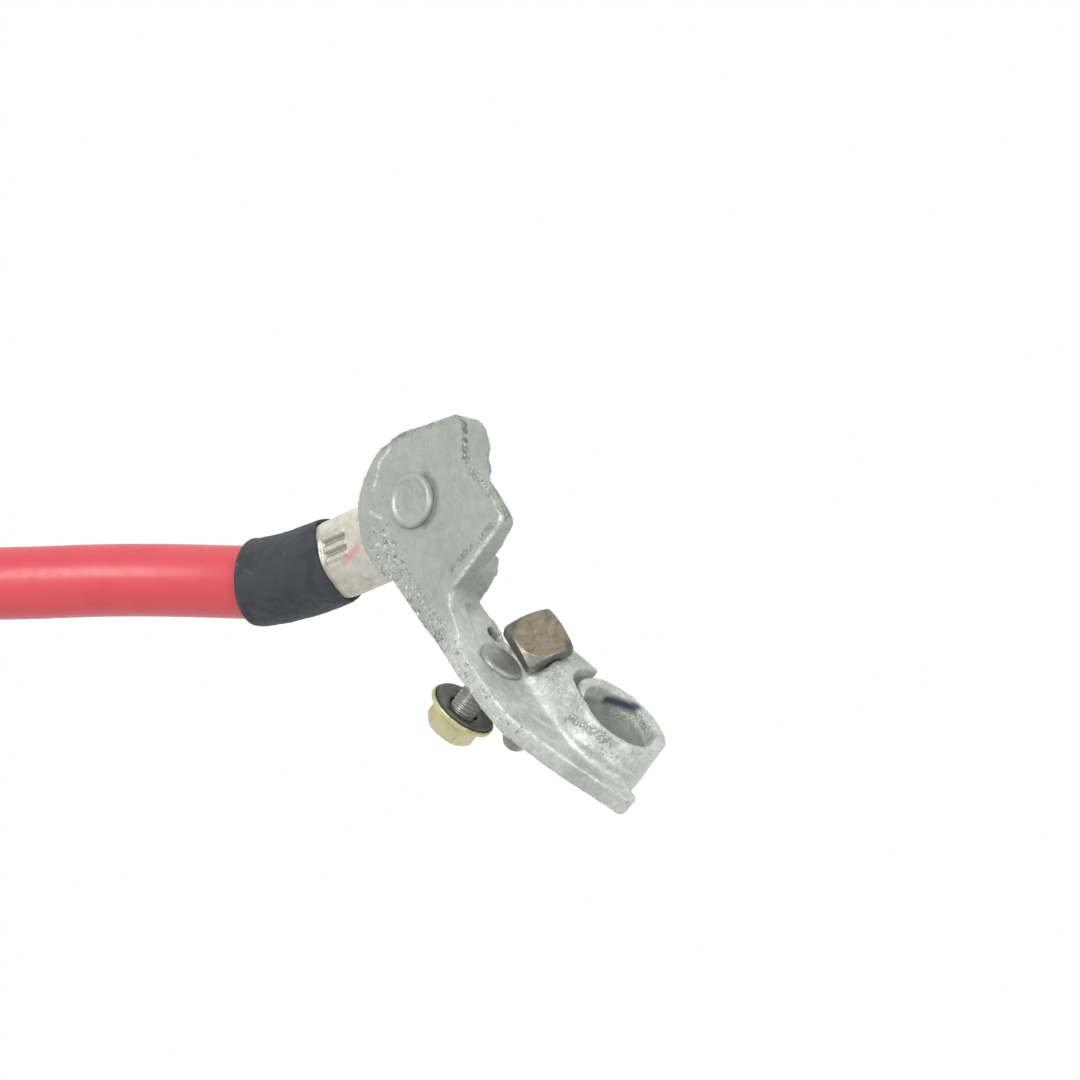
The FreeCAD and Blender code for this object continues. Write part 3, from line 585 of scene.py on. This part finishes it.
def zinc_scuffs(tree, place, scuffed, base):
    """Pale marks over the greys: drawn lines, one of them a painted highlight along a fillet,
    chafed areas and fine scratches.
    """
    light = maths(tree, "MULTIPLY", attribute(tree, "light"),
                  ramp(tree, fine_noise(tree, place, 1500.0, 5.0), 0.42, 0.6, 0.25, 1.0))
    chafed = maths(tree, "MULTIPLY", scuffed,
                   ramp(tree, fine_noise(tree, place, 1250.0, 4.0), 0.56, 0.63))
    strokes = mask(tree, SCRATCHES, place)
    nicks = mask(tree, SCRATCHES, place, Grain=1500.0, Turn=2.0)
    strokes = maths(tree, "MULTIPLY", maths(tree, "ADD", strokes, nicks),
                    maths(tree, "ADD", 0.25, scuffed))
    base = blend(tree, maths(tree, "MULTIPLY", chafed, 0.8), base, colour("#dde0dc"))
    return blend(tree, maths(tree, "ADD", light, strokes), base, colour("#e9ebe8"))


def zinc_pits(tree, place, edge, scuffed):
    """How dark the ragged edges, the specks, the gouges and the blow hole are; the blow hole's
    dark is painted shade.
    """
    ragged = maths(tree, "MULTIPLY", ramp(tree, fine_noise(tree, place, 1700.0, 6.0), 0.4, 0.58),
                   ramp(tree, fine_noise(tree, place, 330.0, 4.0), 0.36, 0.56, 0.15, 1.0))
    dark = maths(tree, "MULTIPLY", attribute(tree, "dark"), ragged)
    specks = mask(tree, PITS, place, Grain=1500.0, Share=0.34)
    near = maths(tree, "ADD", maths(tree, "ADD", ramp(tree, edge, 0.53, 0.66), 0.2), scuffed)
    specks = maths(tree, "MULTIPLY", specks, near)
    gouges = maths(tree, "MULTIPLY", scuffed,
                   ramp(tree, fine_noise(tree, place, 760.0, 6.0), 0.4, 0.33))
    pits = maths(tree, "ADD", dark, maths(tree, "MULTIPLY", specks, 0.8))
    return maths(tree, "ADD", pits, maths(tree, "MULTIPLY", gouges, 0.7))


def cast_zinc():
    """Rough zinc casting: mottled grey, dark pits and pale scuffs where it was knocked, with
    painted shade in its corners, bore and blow hole and round the rivet, and painted highlights
    on its outer edges and along one fillet.
    """
    material, tree, shader, place = new_material("cast_zinc")
    edge, scuffed = attribute(tree, "edge"), attribute(tree, "scuffed")
    base = zinc_scuffs(tree, place, scuffed, zinc_ground(tree, place, edge))
    pits = zinc_pits(tree, place, edge, scuffed)
    # Dark pits, specks and gouges; inside the blow hole this dark is painted shade.
    base = blend(tree, maths(tree, "MULTIPLY", pits, 0.85), base, colour("#51554e"))
    # Painted shade: the post bore's wall, the rivet's shadow, the blow hole and a line near the
    # plate's top.
    shade = maths(tree, "MULTIPLY", attribute(tree, "shade"), 0.75)
    base = blend(tree, shade, base, colour("#6f746c"))
    smear = maths(tree, "MULTIPLY", attribute(tree, "navy"),
                  ramp(tree, fine_noise(tree, place, 300.0), 0.2, 0.35))
    base = blend(tree, smear, base, colour("#414856"))
    rough = ramp(tree, fine_noise(tree, place, 900.0), 0.3, 0.7, 0.4, 0.6)
    grain = bump(tree, fine_noise(tree, place, 1100.0, 5.0), 0.16, 0.6)
    dents = bump(tree, maths(tree, "SUBTRACT", 1.0, pits), 0.2, 0.9, grain)
    finish_material(tree, shader, base, rough, 0.4, dents)
    return material


def plain_metal(name, base, other, roughness, metallic=0.8, grain=900.0):
    """A smooth metal with a slight mottle and fine scratches."""
    material, tree, shader, place = new_material(name)
    patches = mask(tree, MOTTLE, place, Grain=grain * 0.4, Share=0.4)
    mixed = blend(tree, patches, colour(base), colour(other))
    scuffs = mask(tree, SCRATCHES, place, Grain=1400.0, Turn=1.3)
    mixed = blend(tree, maths(tree, "MULTIPLY", scuffs, 0.35), mixed, colour("#f0f0ea"))
    rough = ramp(tree, fine_noise(tree, place, grain), 0.3, 0.7, roughness - 0.08,
                 roughness + 0.1)
    uneven = bump(tree, fine_noise(tree, place, grain * 1.5), 0.05, 0.4)
    finish_material(tree, shader, mixed, rough, metallic, uneven)
    return material


def bronzed_steel():
    """The bolt: brown tarnish on its face, darker steel on its sides that is partly painted
    shade, and a paler thread end.
    """
    material, tree, shader, place = new_material("bronzed_steel")
    up = attribute(tree, "face")
    patches = mask(tree, MOTTLE, place, Grain=480.0, Share=0.42)
    tarnish = blend(tree, patches, colour("#857b69"), colour("#9e937e"))
    # Darker steel on the sides and thread: partly the steel's colour, partly painted shade.
    side_steel_and_shade = blend(tree, patches, colour("#6c6c62"), colour("#89897f"))
    side_steel_and_shade = blend(tree, attribute(tree, "bare"), side_steel_and_shade, colour("#a6a79f"))
    base = blend(tree, up, side_steel_and_shade, tarnish)
    specks = mask(tree, PITS, place, Grain=1700.0, Share=0.34)
    base = blend(tree, maths(tree, "MULTIPLY", specks, 0.5), base, colour("#5a5148"))
    rough = ramp(tree, fine_noise(tree, place, 900.0), 0.3, 0.7, 0.3, 0.5)
    uneven = bump(tree, fine_noise(tree, place, 700.0, 4.0), 0.12, 0.5)
    finish_material(tree, shader, base, rough, 0.75, uneven)
    return material


def tinned_copper():
    """The lug: cream tin plate with painted shade in the crimp's troughs and inner corners, and a
    short pink streak of copper.
    """
    material, tree, shader, place = new_material("tinned_lug")
    patches = mask(tree, MOTTLE, place, Grain=260.0, Share=0.4)
    base = blend(tree, patches, colour("#c9c5b4"), colour("#d9d6cc"))
    stains = mask(tree, MOTTLE, place, Grain=420.0, Share=0.3)
    base = blend(tree, maths(tree, "MULTIPLY", stains, 0.4), base, colour("#a3a390"))
    # Painted shade in the troughs of the crimp.
    crimp_shade = maths(tree, "MULTIPLY", attribute(tree, "crimp_shade"), 0.4)
    base = blend(tree, crimp_shade, base, colour("#74786a"))
    streak = maths(tree, "MULTIPLY", attribute(tree, "streak"), 0.6)
    base = blend(tree, streak, base, colour("#dd8f92"))
    # Painted shade: darker in the lug's inner corners.
    edge = attribute(tree, "edge")
    base = blend(tree, ramp(tree, edge, 0.45, 0.25, 0.0, 0.8), base, colour("#6f7268"))
    rough = ramp(tree, fine_noise(tree, place, 700.0), 0.3, 0.7, 0.42, 0.58)
    uneven = bump(tree, fine_noise(tree, place, 500.0, 4.0), 0.14, 0.6)
    finish_material(tree, shader, base, rough, 0.35, uneven)
    return material


def black_sleeve():
    """Matt shrink sleeve, slate black, with fine wrinkles."""
    material, tree, shader, place = new_material("black_sleeve")
    patches = mask(tree, MOTTLE, place, Grain=170.0, Share=0.4)
    base = blend(tree, patches, colour("#2f3337"), colour("#383c41"))
    scuffs = mask(tree, SCRATCHES, place, Grain=700.0, Turn=2.2)
    base = blend(tree, maths(tree, "MULTIPLY", scuffs, 0.25), base, colour("#7d8086"))
    rough = ramp(tree, fine_noise(tree, place, 700.0), 0.3, 0.7, 0.55, 0.75)
    uneven = bump(tree, fine_noise(tree, place, 1600.0), 0.06, 0.5)
    finish_material(tree, shader, base, rough, 0.0, uneven)
    return material


def red_insulation():
    """Smooth red insulation with a satin shine."""
    material, tree, shader, place = new_material("red_insulation")
    patches = mask(tree, MOTTLE, place, Grain=90.0, Share=0.4)
    base = blend(tree, patches, colour("#cc4650"), colour("#d04c55"))
    rough = ramp(tree, fine_noise(tree, place, 500.0), 0.3, 0.7, 0.33, 0.43)
    uneven = bump(tree, fine_noise(tree, place, 260.0), 0.1, 0.25)
    finish_material(tree, shader, base, rough, 0.0, uneven)
    return material


ZINC = cast_zinc()
RIVET_STEEL = plain_metal("rivet_steel", "#a4a8a2", "#b1b5af", 0.45, 0.45)
BRIGHT_STEEL = plain_metal("bright_steel", "#94968e", "#a4a69e", 0.4, 0.55)
YELLOW_ZINC = plain_metal("yellow_zinc", "#cac694", "#d3d0a8", 0.36, 0.6)
DARK_STEEL = plain_metal("dark_steel", "#5d605a", "#6c6e67", 0.42, 0.8)
BRONZED = bronzed_steel()
TINNED = tinned_copper()
SLEEVE = black_sleeve()
RED = red_insulation()
COPPER = plain_metal("copper", "#c07a52", "#cf8a60", 0.35, 0.9)

# %% [markdown]
# ## The casting
#
# Cast metal has no sharp edge. The CAD solid is remeshed evenly and smoothed, then its surface
# is swelled a little by noise, and its edges are marked for the material.

# %%


# A small hole in the neck's floor, as a short line in the terminal's frame.
BLOW_HOLE = [(-8.4, 2.6, 1.2), (-7.2, 3.8, 1.2)]
# Marks on the casting, in the terminal's frame: kind, half width, strength and its line.
MARKS = [
    ("dark", 0.9, 1.0, [(-41.8, -8.9, 30.7), (-39.1, -8.9, 31.5), (-37.0, -8.7, 30.3),
                        (-34.8, -8.9, 28.1), (-32.7, -8.9, 26.6)]),
    ("dark", 0.8, 0.7, [(-32.0, -8.9, 26.2), (-23.3, -8.9, 26.3), (-19.4, -8.9, 26.4),
                        (-15.8, -7.5, 25.8)]),
    ("dark", 0.9, 0.6, [(-33.7, -1.5, 28.1), (-31.7, -2.1, 27.2), (-22.8, -7.1, 27.0),
                        (-16.6, -6.7, 26.1)]),
    ("dark", 0.9, 0.8, [(-52.0, -8.9, 12.5), (-51.2, -8.9, 16.0), (-48.5, -8.9, 20.8),
                        (-42.8, -8.9, 29.0)]),
    ("light", 0.35, 0.8, [(-50.4, -8.9, 13.7), (-50.2, -8.9, 9.7), (-48.1, -8.9, 6.0),
                         (-47.2, -8.9, 4.3)]),
    ("light", 0.4, 0.7, [(-44.1, -8.9, 0.8), (-42.2, -8.9, 1.4), (-41.0, -8.9, 1.9)]),
    ("scuffed", 4.0, 1.0, [(-36.9, -8.9, -2.0), (-32.8, -8.9, -2.5), (-29.3, -8.9, -3.6)]),
    ("scuffed", 2.4, 0.8, [(-23.8, -8.9, -2.8), (-10.3, -8.9, -2.5), (-3.3, -9.8, -2.3),
                           (3.5, -10.1, -2.0), (11.2, -10.1, -1.4), (19.2, -7.7, -0.4)]),
    ("light", 0.45, 0.6, [(-13.5, -8.8, 4.4), (-15.0, -8.9, 6.6), (-15.3, -8.9, 14.8),
                         (-15.6, -8.6, 22.5), (-16.4, -8.6, 25.2)]),
    ("dark", 0.8, 0.6, [(-18.1, -8.9, 8.8), (-17.8, -8.9, 13.8), (-17.2, -8.9, 18.4),
                        (-16.8, -8.9, 23.5)]),
    ("dark", 1.3, 0.9, [(-10.4, -8.9, -3.2), (-7.5, -9.1, -3.6)]),
    ("light", 0.6, 0.6, [(15.7, -1.3, 0.0), (16.7, 0.1, 0.0), (18.1, 1.0, 0.0)]),
    ("light", 0.4, 0.5, [(9.9, -10.1, -0.6), (17.0, -9.2, -0.5), (21.8, -5.5, -0.5),
                         (28.8, 0.5, -0.1), (33.9, 5.8, 0.0)]),
    ("dark", 2.6, 0.35, [(7.3, 6.1, 5.9), (12.7, 5.8, 6.5), (18.3, 5.4, 7.1)]),
    ("dark", 1.2, 0.7, [(19.4, 4.4, 3.4), (24.6, 5.4, 5.2), (28.4, 8.1, 6.3)]),
    ("navy", 1.1, 1.0, [(13.9, 19.3, 5.0), (15.7, 21.9, 6.0), (17.6, 23.9, 7.0)]),
    ("dark", 1.6, 0.5, [(15.2, 21.0, 3.0), (20.7, 23.9, 5.8), (25.9, 22.7, 6.2)]),
    # A painted highlight along the fillet at the foot of the near wall.
    ("light", 0.35, 0.6, [(3.1, 3.6, 0.8), (10.3, 3.4, 0.8), (17.6, 3.4, 0.8), (24.4, 3.6, 0.8),
                         (28.7, 6.0, 0.8), (32.4, 11.4, 0.8)]),
    ("scuffed", 3.0, 0.5, [(31.5, 14.5, 6.8), (32.3, 13.1, 3.4), (29.3, 7.9, 4.0)]),
    # Painted shadow of the rivet's head on the plate.
    ("shade", 0.8, 0.8, [(-30.6, -8.9, 9.6), (-30.7, -8.9, 12.8), (-32.5, -8.9, 15.4),
                         (-35.6, -8.9, 17.0), (-38.6, -8.9, 16.8)]),
    # Painted shade inside the blow hole, by this mark and the next.
    ("shade", 0.9, 1.3, BLOW_HOLE),
    ("dark", 0.9, 1.0, BLOW_HOLE),
    # Painted shade along a line near the head plate's top.
    ("shade", 0.35, 0.8, [(-22.8, -7.1, 27.0), (-16.6, -6.7, 26.1), (-15.2, -3.6, 21.5)]),
]
# Corners that the casting rounds more than the rest, in the terminal's frame, with their reach.
ROUNDED = [((-16.0, -6.0, 26.0), 7.0), ((-39.0, -4.0, 31.5), 5.0), ((-31.0, -3.0, 26.0), 5.0),
           ((-18.5, -1.5, 12.0), 5.0), ((-14.0, -6.0, 4.5), 4.0), ((-52.0, -6.0, 15.0), 4.0)]
# Places where the cast surface stands further back along the terminal's Y: reach and shift.
FULLER = [((-29.0, -3.0, 26.5), 4.5, 1.4), ((-7.5, 5.0, 0.0), 5.5, 1.9)]
# Height of the machined face under the flange, and the radius that the washer needs there.
SEAT_HIGH, SEAT_REACH = -4.15, 8.4
# Radius and height within which the post bore's wall lies in shadow.
BORE_REACH, BORE_MOUTH = 9.2, 4.8


def in_bore(places):
    """How much each place lies on the post bore's wall below its mouth, which is in shadow."""
    away = np.hypot(places[:, 0] - ORIGIN_IN_TERMINAL.x, places[:, 1] - ORIGIN_IN_TERMINAL.y)
    wall = np.clip((BORE_REACH - away) / 0.3, 0, 1)
    return 0.75 * wall * np.clip((BORE_MOUTH - places[:, 2]) / 0.8, 0, 1)


def paint_marks(mesh):
    """Store how much of each kind of mark every vertex has."""
    places = places_in(mesh, TERMINAL)
    for kind in ("dark", "light", "scuffed", "navy", "shade"):
        amount = in_bore(places) if kind == "shade" else np.zeros(len(places))
        for mark, width, strength, line in MARKS:
            if mark == kind:
                near = np.clip(1.5 - near_line(places, line) / width, 0, 1)
                amount = np.maximum(amount, strength * near)
        store(mesh, kind, amount)
    store(mesh, "pale", np.clip((places[:, 0] + 15) / 10, 0, 1))


def sink_hole(mesh, line, width, depth):
    """A small blow hole in the neck's floor."""
    near = near_line(places_in(mesh, TERMINAL), line)
    push = np.clip(1.4 - near / width, 0, 1) ** 0.5 * depth * MM
    move_vertices(mesh, coordinates(mesh) - normals(mesh) * push[:, None])


def push_out(mesh, spot, reach, shift):
    """Draw the surface near a spot along the terminal's Y, by a shift in millimetres."""
    near = 1 - np.linalg.norm(places_in(mesh, TERMINAL) - np.array(spot), axis=1) / reach
    side = np.array(TERMINAL.to_3x3().normalized())[:, 1]
    share = np.clip(near * 1.6, 0, 1)[:, None]
    move_vertices(mesh, coordinates(mesh) + side * share * shift * MM)


def face_seat(mesh, high, reach):
    """Keep the underside round the stud flat at its machined height, where the washer closes."""
    places = places_in(mesh, TERMINAL)
    near = (np.hypot(places[:, 0], places[:, 1]) < reach) & (abs(places[:, 2] - high) < 1.2)
    lift = np.where(near, np.maximum(0, high - places[:, 2]), 0) * MM
    up = np.array(TERMINAL.to_3x3().normalized())[:, 2]
    move_vertices(mesh, coordinates(mesh) + up * lift[:, None])


def make_casting():
    """The zinc casting."""
    mesh = softened("terminal_body", 0.375, 5)
    fill_corners(mesh, 60)
    round_off(mesh, TERMINAL, ROUNDED, 45)
    for spot, reach, shift in FULLER:
        push_out(mesh, spot, reach, shift)
    swell(mesh, [(9.0, 0.2), (2.6, 0.09), (0.9, 0.05)], 1)
    face_seat(mesh, SEAT_HIGH, SEAT_REACH)
    mark_edges(mesh, 3.6)
    paint_marks(mesh)
    sink_hole(mesh, BLOW_HOLE, 0.8, 1.6)
    return add_piece("casting", mesh, "terminal", "cast_zinc", ZINC, "terminal_body")


make_casting()

# %% [markdown]
# ## Screws, nuts and the rivet

# %%


def make_rivet():
    """A low round head with a raised rim, and the formed tail behind the lug."""
    head = turned("rivet", rounded_profile([
        (0.01, 1.05), (4.2, 1.1), (4.75, 1.5), (5.45, 1.5), (5.85, 0.8), (5.85, 0), (3.5, 0),
        (3.5, -8.6), (5.25, -8.6), (4.95, -9.6), (2.7, -10.6), (0.01, -10.8)], 0.3))
    return add_piece("rivet", head, "terminal", "rivet_steel", RIVET_STEEL, "lug_rivet",
                     place=RIVET)


def make_stud():
    """The stud: a flat head with a rounded rim, and a long thread under the flange."""
    head = turned("stud_head", rounded_profile([
        (0.01, 0.95), (3.4, 1.0), (4.4, 1.2), (5.0, 0.75), (5.0, 0), (3.0, 0), (3.0, -4.2),
        (0.01, -4.2)], 0.25))
    mesh = joined("stud", head, threaded("stud_thread", -3.6, -20.8, 3.0))
    return add_piece("stud", mesh, "terminal", "bright_steel", BRIGHT_STEEL, "auxiliary_stud",
                     place=TERMINAL)


def make_washer():
    """The dished washer."""
    seat = -12.5
    section = rounded_profile([
        (3.45, seat - 1.6), (3.45, seat - 0.9), (6.9, seat), (7.0, seat - 1.1),
        (3.5, seat - 2.0), (3.45, seat - 1.6)], 0.2)
    rings = [[(r * math.cos(a), r * math.sin(a), z)
              for a in (2 * math.pi * k / 96 for k in range(96))] for r, z in section]
    mesh = grid_mesh("washer", rings, caps=False)
    return add_piece("washer", mesh, "washer", "dark_steel", DARK_STEEL, "captive_washer",
                     place=TERMINAL)


def make_nut(name, node_name, body, slot, material):
    """A nut with the CAD's form and softened corners."""
    mesh = softened(node_name, 0.16, 4)
    mark_edges(mesh, 5.0)
    return add_piece(name, mesh, body, slot, material, node_name)


def head_outline(half, steps=128):
    """A square with slightly round corners, as (radius, angle) pairs."""
    angles = [2 * math.pi * k / steps for k in range(steps)]
    return [(half / (abs(math.cos(a)) ** 20 + abs(math.sin(a)) ** 20) ** 0.05, a) for a in angles]


def head_ring(half, share, cone, drop):
    """A ring from the round face, share 0, to the square outline, share 1, on a cone's slope."""
    ring = []
    for full, a in head_outline(half):
        r = cone * (1 - share) + full * share
        ring.append((r * math.cos(a), r * math.sin(a), -max(0, r - cone) * drop))
    return ring


def make_clamp_bolt():
    """The square head with a round flat face, bevelled by a cone, and the thread below it."""
    half, low, cone, tip = 5.5, -4.1, 5.2, -45.0
    rings = [[(cone * s * math.cos(a), cone * s * math.sin(a), 0) for _, a in head_outline(half)]
             for s in (0.02, 0.3, 0.6, 0.85, 0.96)]
    rings += [head_ring(half, share, cone, 0.6) for share in (0, 0.1, 0.3, 0.5, 0.7, 0.9, 0.985)]
    for size, z in ((half, -1.75), (half, -3.2), (half, low + 0.15), (half - 0.15, low),
                    (half * 0.3, low)):
        rings.append([(r * math.cos(a), r * math.sin(a), z) for r, a in head_outline(size)])
    head = grid_mesh("bolt_head", rings)
    mesh = joined("clamp_bolt", head, threaded("bolt_thread", low + 0.1, tip, 3.0))
    places = coordinates(mesh)
    reach = np.hypot(places[:, 0], places[:, 1])
    face = np.clip((cone + 0.15 - reach) / 0.2, 0, 1) * (places[:, 2] > -0.4)
    store(mesh, "face", face)
    store(mesh, "bare", np.clip((-20 - places[:, 2]) / 4, 0, 1))
    return add_piece("square_bolt", mesh, "bolt", "bronzed_steel", BRONZED, "clamp_bolt",
                     place=BOLT)


make_rivet()
make_stud()
make_washer()
make_nut("yellow_flange_nut", "flange_nut", "nut", "yellow_zinc", YELLOW_ZINC)
make_nut("tab_nut", "clamp_nut", "bolt_nut", "dark_steel", DARK_STEEL)
make_clamp_bolt()

# %% [markdown]
# ## Lugs and sleeves

# %%


# A lug's barrel, and the flat that the crimping tool presses into it: from, to and half width.
BARREL_LENGTH, BARREL_RADIUS = 36, 8.8
CRIMP_FROM, CRIMP_TO, CRIMP_HALF = 25.2, 32.4, 3.4
RIB_PITCH = 2.5


def press_ribs(mesh, lug):
    """The thick ribs that the crimping tool leaves standing in its flat, along the barrel."""
    x, y, z = places_in(mesh, lug).T
    inside = np.clip((x - CRIMP_FROM) / 0.5, 0, 1) * np.clip((CRIMP_TO - x) / 0.5, 0, 1)
    inside *= np.clip((CRIMP_HALF - abs(y)) / 0.4, 0, 1) * (z > -2.4)
    rib = np.clip(0.5 + np.cos(2 * math.pi * y / RIB_PITCH) * 1.5, 0, 1) * inside
    up = np.array(lug.to_3x3().normalized())[:, 2]
    move_vertices(mesh, coordinates(mesh) + up * ((0.85 * rib - 0.25 * inside) * MM)[:, None])
    # Painted shade for the crimp's flat, least on the ribs.
    store(mesh, "crimp_shade", inside * (1 - 0.8 * rib))


def make_lug(name, node_name, lug, streak):
    """A crimp lug with softened edges. The streak is a line of bare copper on its barrel."""
    mesh = softened(node_name, 0.3, 4)
    press_ribs(mesh, lug)
    swell(mesh, [(6.0, 0.14), (1.6, 0.05)], 3)
    mark_edges(mesh, 4.0)
    near = near_line(places_in(mesh, lug), streak)
    store(mesh, "streak", np.clip(1.4 - near / 0.8, 0, 1))
    return add_piece(name, mesh, "terminal", "tinned_lug", TINNED, node_name)


def on_barrel(along_lug, degrees):
    """A place on a lug's round barrel, so many degrees round from its flush side."""
    a = math.radians(degrees)
    return (along_lug, BARREL_RADIUS * math.sin(a), BARREL_RADIUS * (math.cos(a) - 1))


def carry(points):
    """A frame at each point of a line that turns with it and never twists: (place, side, up)."""
    frames, side = [], None
    for k, point in enumerate(points):
        ahead = (points[min(k + 1, len(points) - 1)] - points[max(k - 1, 0)]).normalized()
        if side is None:
            side = ahead.orthogonal().normalized()
        side = (side - ahead * side.dot(ahead)).normalized()
        frames.append((point, side, ahead.cross(side)))
    return frames


def between(frames, marks, distance):
    """The frame at a distance along a line of frames, whose own distances are the marks."""
    after = int(np.clip(np.searchsorted(marks, distance), 1, len(marks) - 1))
    share = (distance - marks[after - 1]) / (marks[after] - marks[after - 1])
    return [a.lerp(b, share) for a, b in zip(frames[after - 1], frames[after])]


def evenly(points, start, end, step):
    """Points along a line between two distances, about a step apart."""
    lengths = np.cumsum([0] + [(b - a).length for a, b in zip(points, points[1:])])
    rows = np.array([p[:] for p in points])
    marks = np.linspace(start, end, int((end - start) / step) + 1)
    return [Vector([np.interp(m, lengths, rows[:, k]) for k in range(3)]) for m in marks]


# A sleeve's outer radius, and its inner radii over a lug's barrel and over the cable.
SLEEVE_RADIUS, OVER_BARREL, OVER_CABLE = 9.8, 8.9, 8.2


def sleeve_mesh(name, line, lap, length, seed, slack):
    """A loose sleeve over the lug's barrel and the cable. Its start laps less at the sides."""
    back = (line[0] - line[1]).normalized()
    lead = [line[0] + back * (lap + 0.5) * (1 - k / 8) for k in range(8)]
    points = lead + evenly(line, 0, length + 0.5, 0.5)
    total = lap + length
    steps = 90
    frames = carry(points)
    marks = np.cumsum([0] + [(b - a).length for a, b in zip(points, points[1:])]) - 0.5
    _, first_side, first_up = frames[0]
    wobble = []
    for a in (2 * math.pi * k / steps for k in range(steps)):
        facing = min(1, 1.25 * (first_side.z * math.cos(a) + first_up.z * math.sin(a)))
        cut = slack * min(1, 1.1 * (1 - facing))
        wobble.append((cut + 0.35 * noise.noise((3 * math.cos(a), 3 * math.sin(a), seed)),
                       0.9 * noise.noise((1.6 * math.cos(a), 1.6 * math.sin(a), seed + 4))))
    rings, inner = [], []
    for k, mark in enumerate(marks):
        ring, back_ring = [], []
        for step in range(steps):
            a = 2 * math.pi * step / steps
            first, last = max(0, wobble[step][0]), total - max(0, wobble[step][1])
            spot = first + (last - first) * mark / total
            place, side, up = between(frames, marks, min(max(spot, 0), total))
            around = side * math.cos(a) + up * math.sin(a)
            grain = (place + around * SLEEVE_RADIUS) * 0.16 + Vector((seed, 0, 0))
            stretch = Vector((grain.x * 2.2, grain.y, grain.z))
            ripple = 0.2 * noise.noise(stretch) + 0.08 * noise.noise(stretch * 3.1) - 0.05
            end_fade = min(1, max(0, min(mark, total - mark) / 1.2))
            r = SLEEVE_RADIUS + min(0.0, ripple) * end_fade - 0.25 * (1 - end_fade) ** 2
            ring.append(place + around * r)
            back_ring.append(place + around * (OVER_BARREL if mark < lap else OVER_CABLE))
        rings.append(ring)
        inner.append(back_ring)
    return grid_mesh(name, rings + inner[::-1] + rings[:1], caps=False)


END = Vector(ROUTE[-1])
FAR_LUG = Matrix.Scale(MM, 4) @ along(Vector(ROUTE[-2]) - END, (0, 0, -1), END)
FAR_LUG = FAR_LUG @ Matrix.Translation((-BARREL_LENGTH, 0, BARREL_RADIUS))
make_lug("front_lug", "cable_lug", FRONT_LUG, [
    on_barrel(22.7, 16.5), on_barrel(25, 22), on_barrel(27.5, 28)])
make_lug("ring_lug", "far_lug", FAR_LUG, [on_barrel(24, -30), on_barrel(27, -36)])

for node_name, line, lap, length, seed, slack in (
        ("front_sleeve", LINE, 2.6, 23.2, 2.0, 3.6),
        ("far_sleeve", LINE[::-1], 3.0, 38.5, 5.0, 0.8)):
    mesh = sleeve_mesh(node_name + "_skin", line, lap, length, seed, slack)
    add_piece(node_name + "_skin", mesh, "terminal", "black_sleeve", SLEEVE, node_name,
              place=Matrix.Scale(MM, 4))

cable.data.materials.append(RED)
NODES["cable_conductor"].data.materials.clear()
NODES["cable_conductor"].data.materials.append(COPPER)

# %% [markdown]
# ## Table and light
#
# The table is white in the picture and casts no shadow there, but it still lights the object
# from below as a real white table does.

# %%


def make_table():
    """A wide plane under the object that the camera and mirror rays see as plain white."""
    reach = 6.0
    mesh = bpy.data.meshes.new("table")
    z = (FLOOR - 0.02) * MM
    mesh.from_pydata([(-reach, -reach, z), (reach, -reach, z), (reach, reach, z),
                      (-reach, reach, z)], [], [(0, 1, 2, 3)])
    table = link("table", mesh)
    material = bpy.data.materials.new("table_white")
    material.use_nodes = True
    tree = material.node_tree
    tree.nodes.clear()
    rays = tree.nodes.new("ShaderNodeLightPath").outputs
    seen = maths(tree, "ADD", maths(tree, "ADD", rays["Is Camera Ray"], rays["Is Glossy Ray"]),
                 rays["Is Transmission Ray"])
    soft = node(tree, "ShaderNodeBsdfDiffuse", {"Color": (0.9, 0.9, 0.9, 1)}).outputs[0]
    white = node(tree, "ShaderNodeEmission", {"Color": (1, 1, 1, 1), "Strength": 1.0}).outputs[0]
    mixed = node(tree, "ShaderNodeMixShader", {0: seen, 1: soft, 2: white}).outputs[0]
    node(tree, "ShaderNodeOutputMaterial", {"Surface": mixed})
    mesh.materials.append(material)


def make_lamp(name, place, size, power):
    """A soft square lamp that faces the object."""
    data = bpy.data.lights.new(name, "AREA")
    data.shape = "SQUARE"
    data.size = size
    data.energy = power
    lamp = bpy.data.objects.new(name, data)
    lamp.location = place
    lamp.rotation_mode = "QUATERNION"
    away = Vector(place) - Vector((-0.02, 0.02, -0.03))
    lamp.rotation_quaternion = away.to_track_quat("Z", "Y")
    bpy.context.scene.collection.objects.link(lamp)


def make_light():
    """A pale room, one large lamp from the upper left and a weaker one from the right."""
    world = bpy.data.worlds.new("room")
    world.use_nodes = True
    back = next(n for n in world.node_tree.nodes if n.type == "BACKGROUND")
    back.inputs["Color"].default_value = (0.98, 0.99, 1.0, 1)
    back.inputs["Strength"].default_value = 0.62
    bpy.context.scene.world = world
    make_lamp("key", (-0.55, 0.75, 1.25), 0.7, 16)
    make_lamp("fill", (0.8, -0.1, 0.9), 0.8, 5)


make_table()
make_light()
bpy.context.scene.view_settings.view_transform = "Standard"
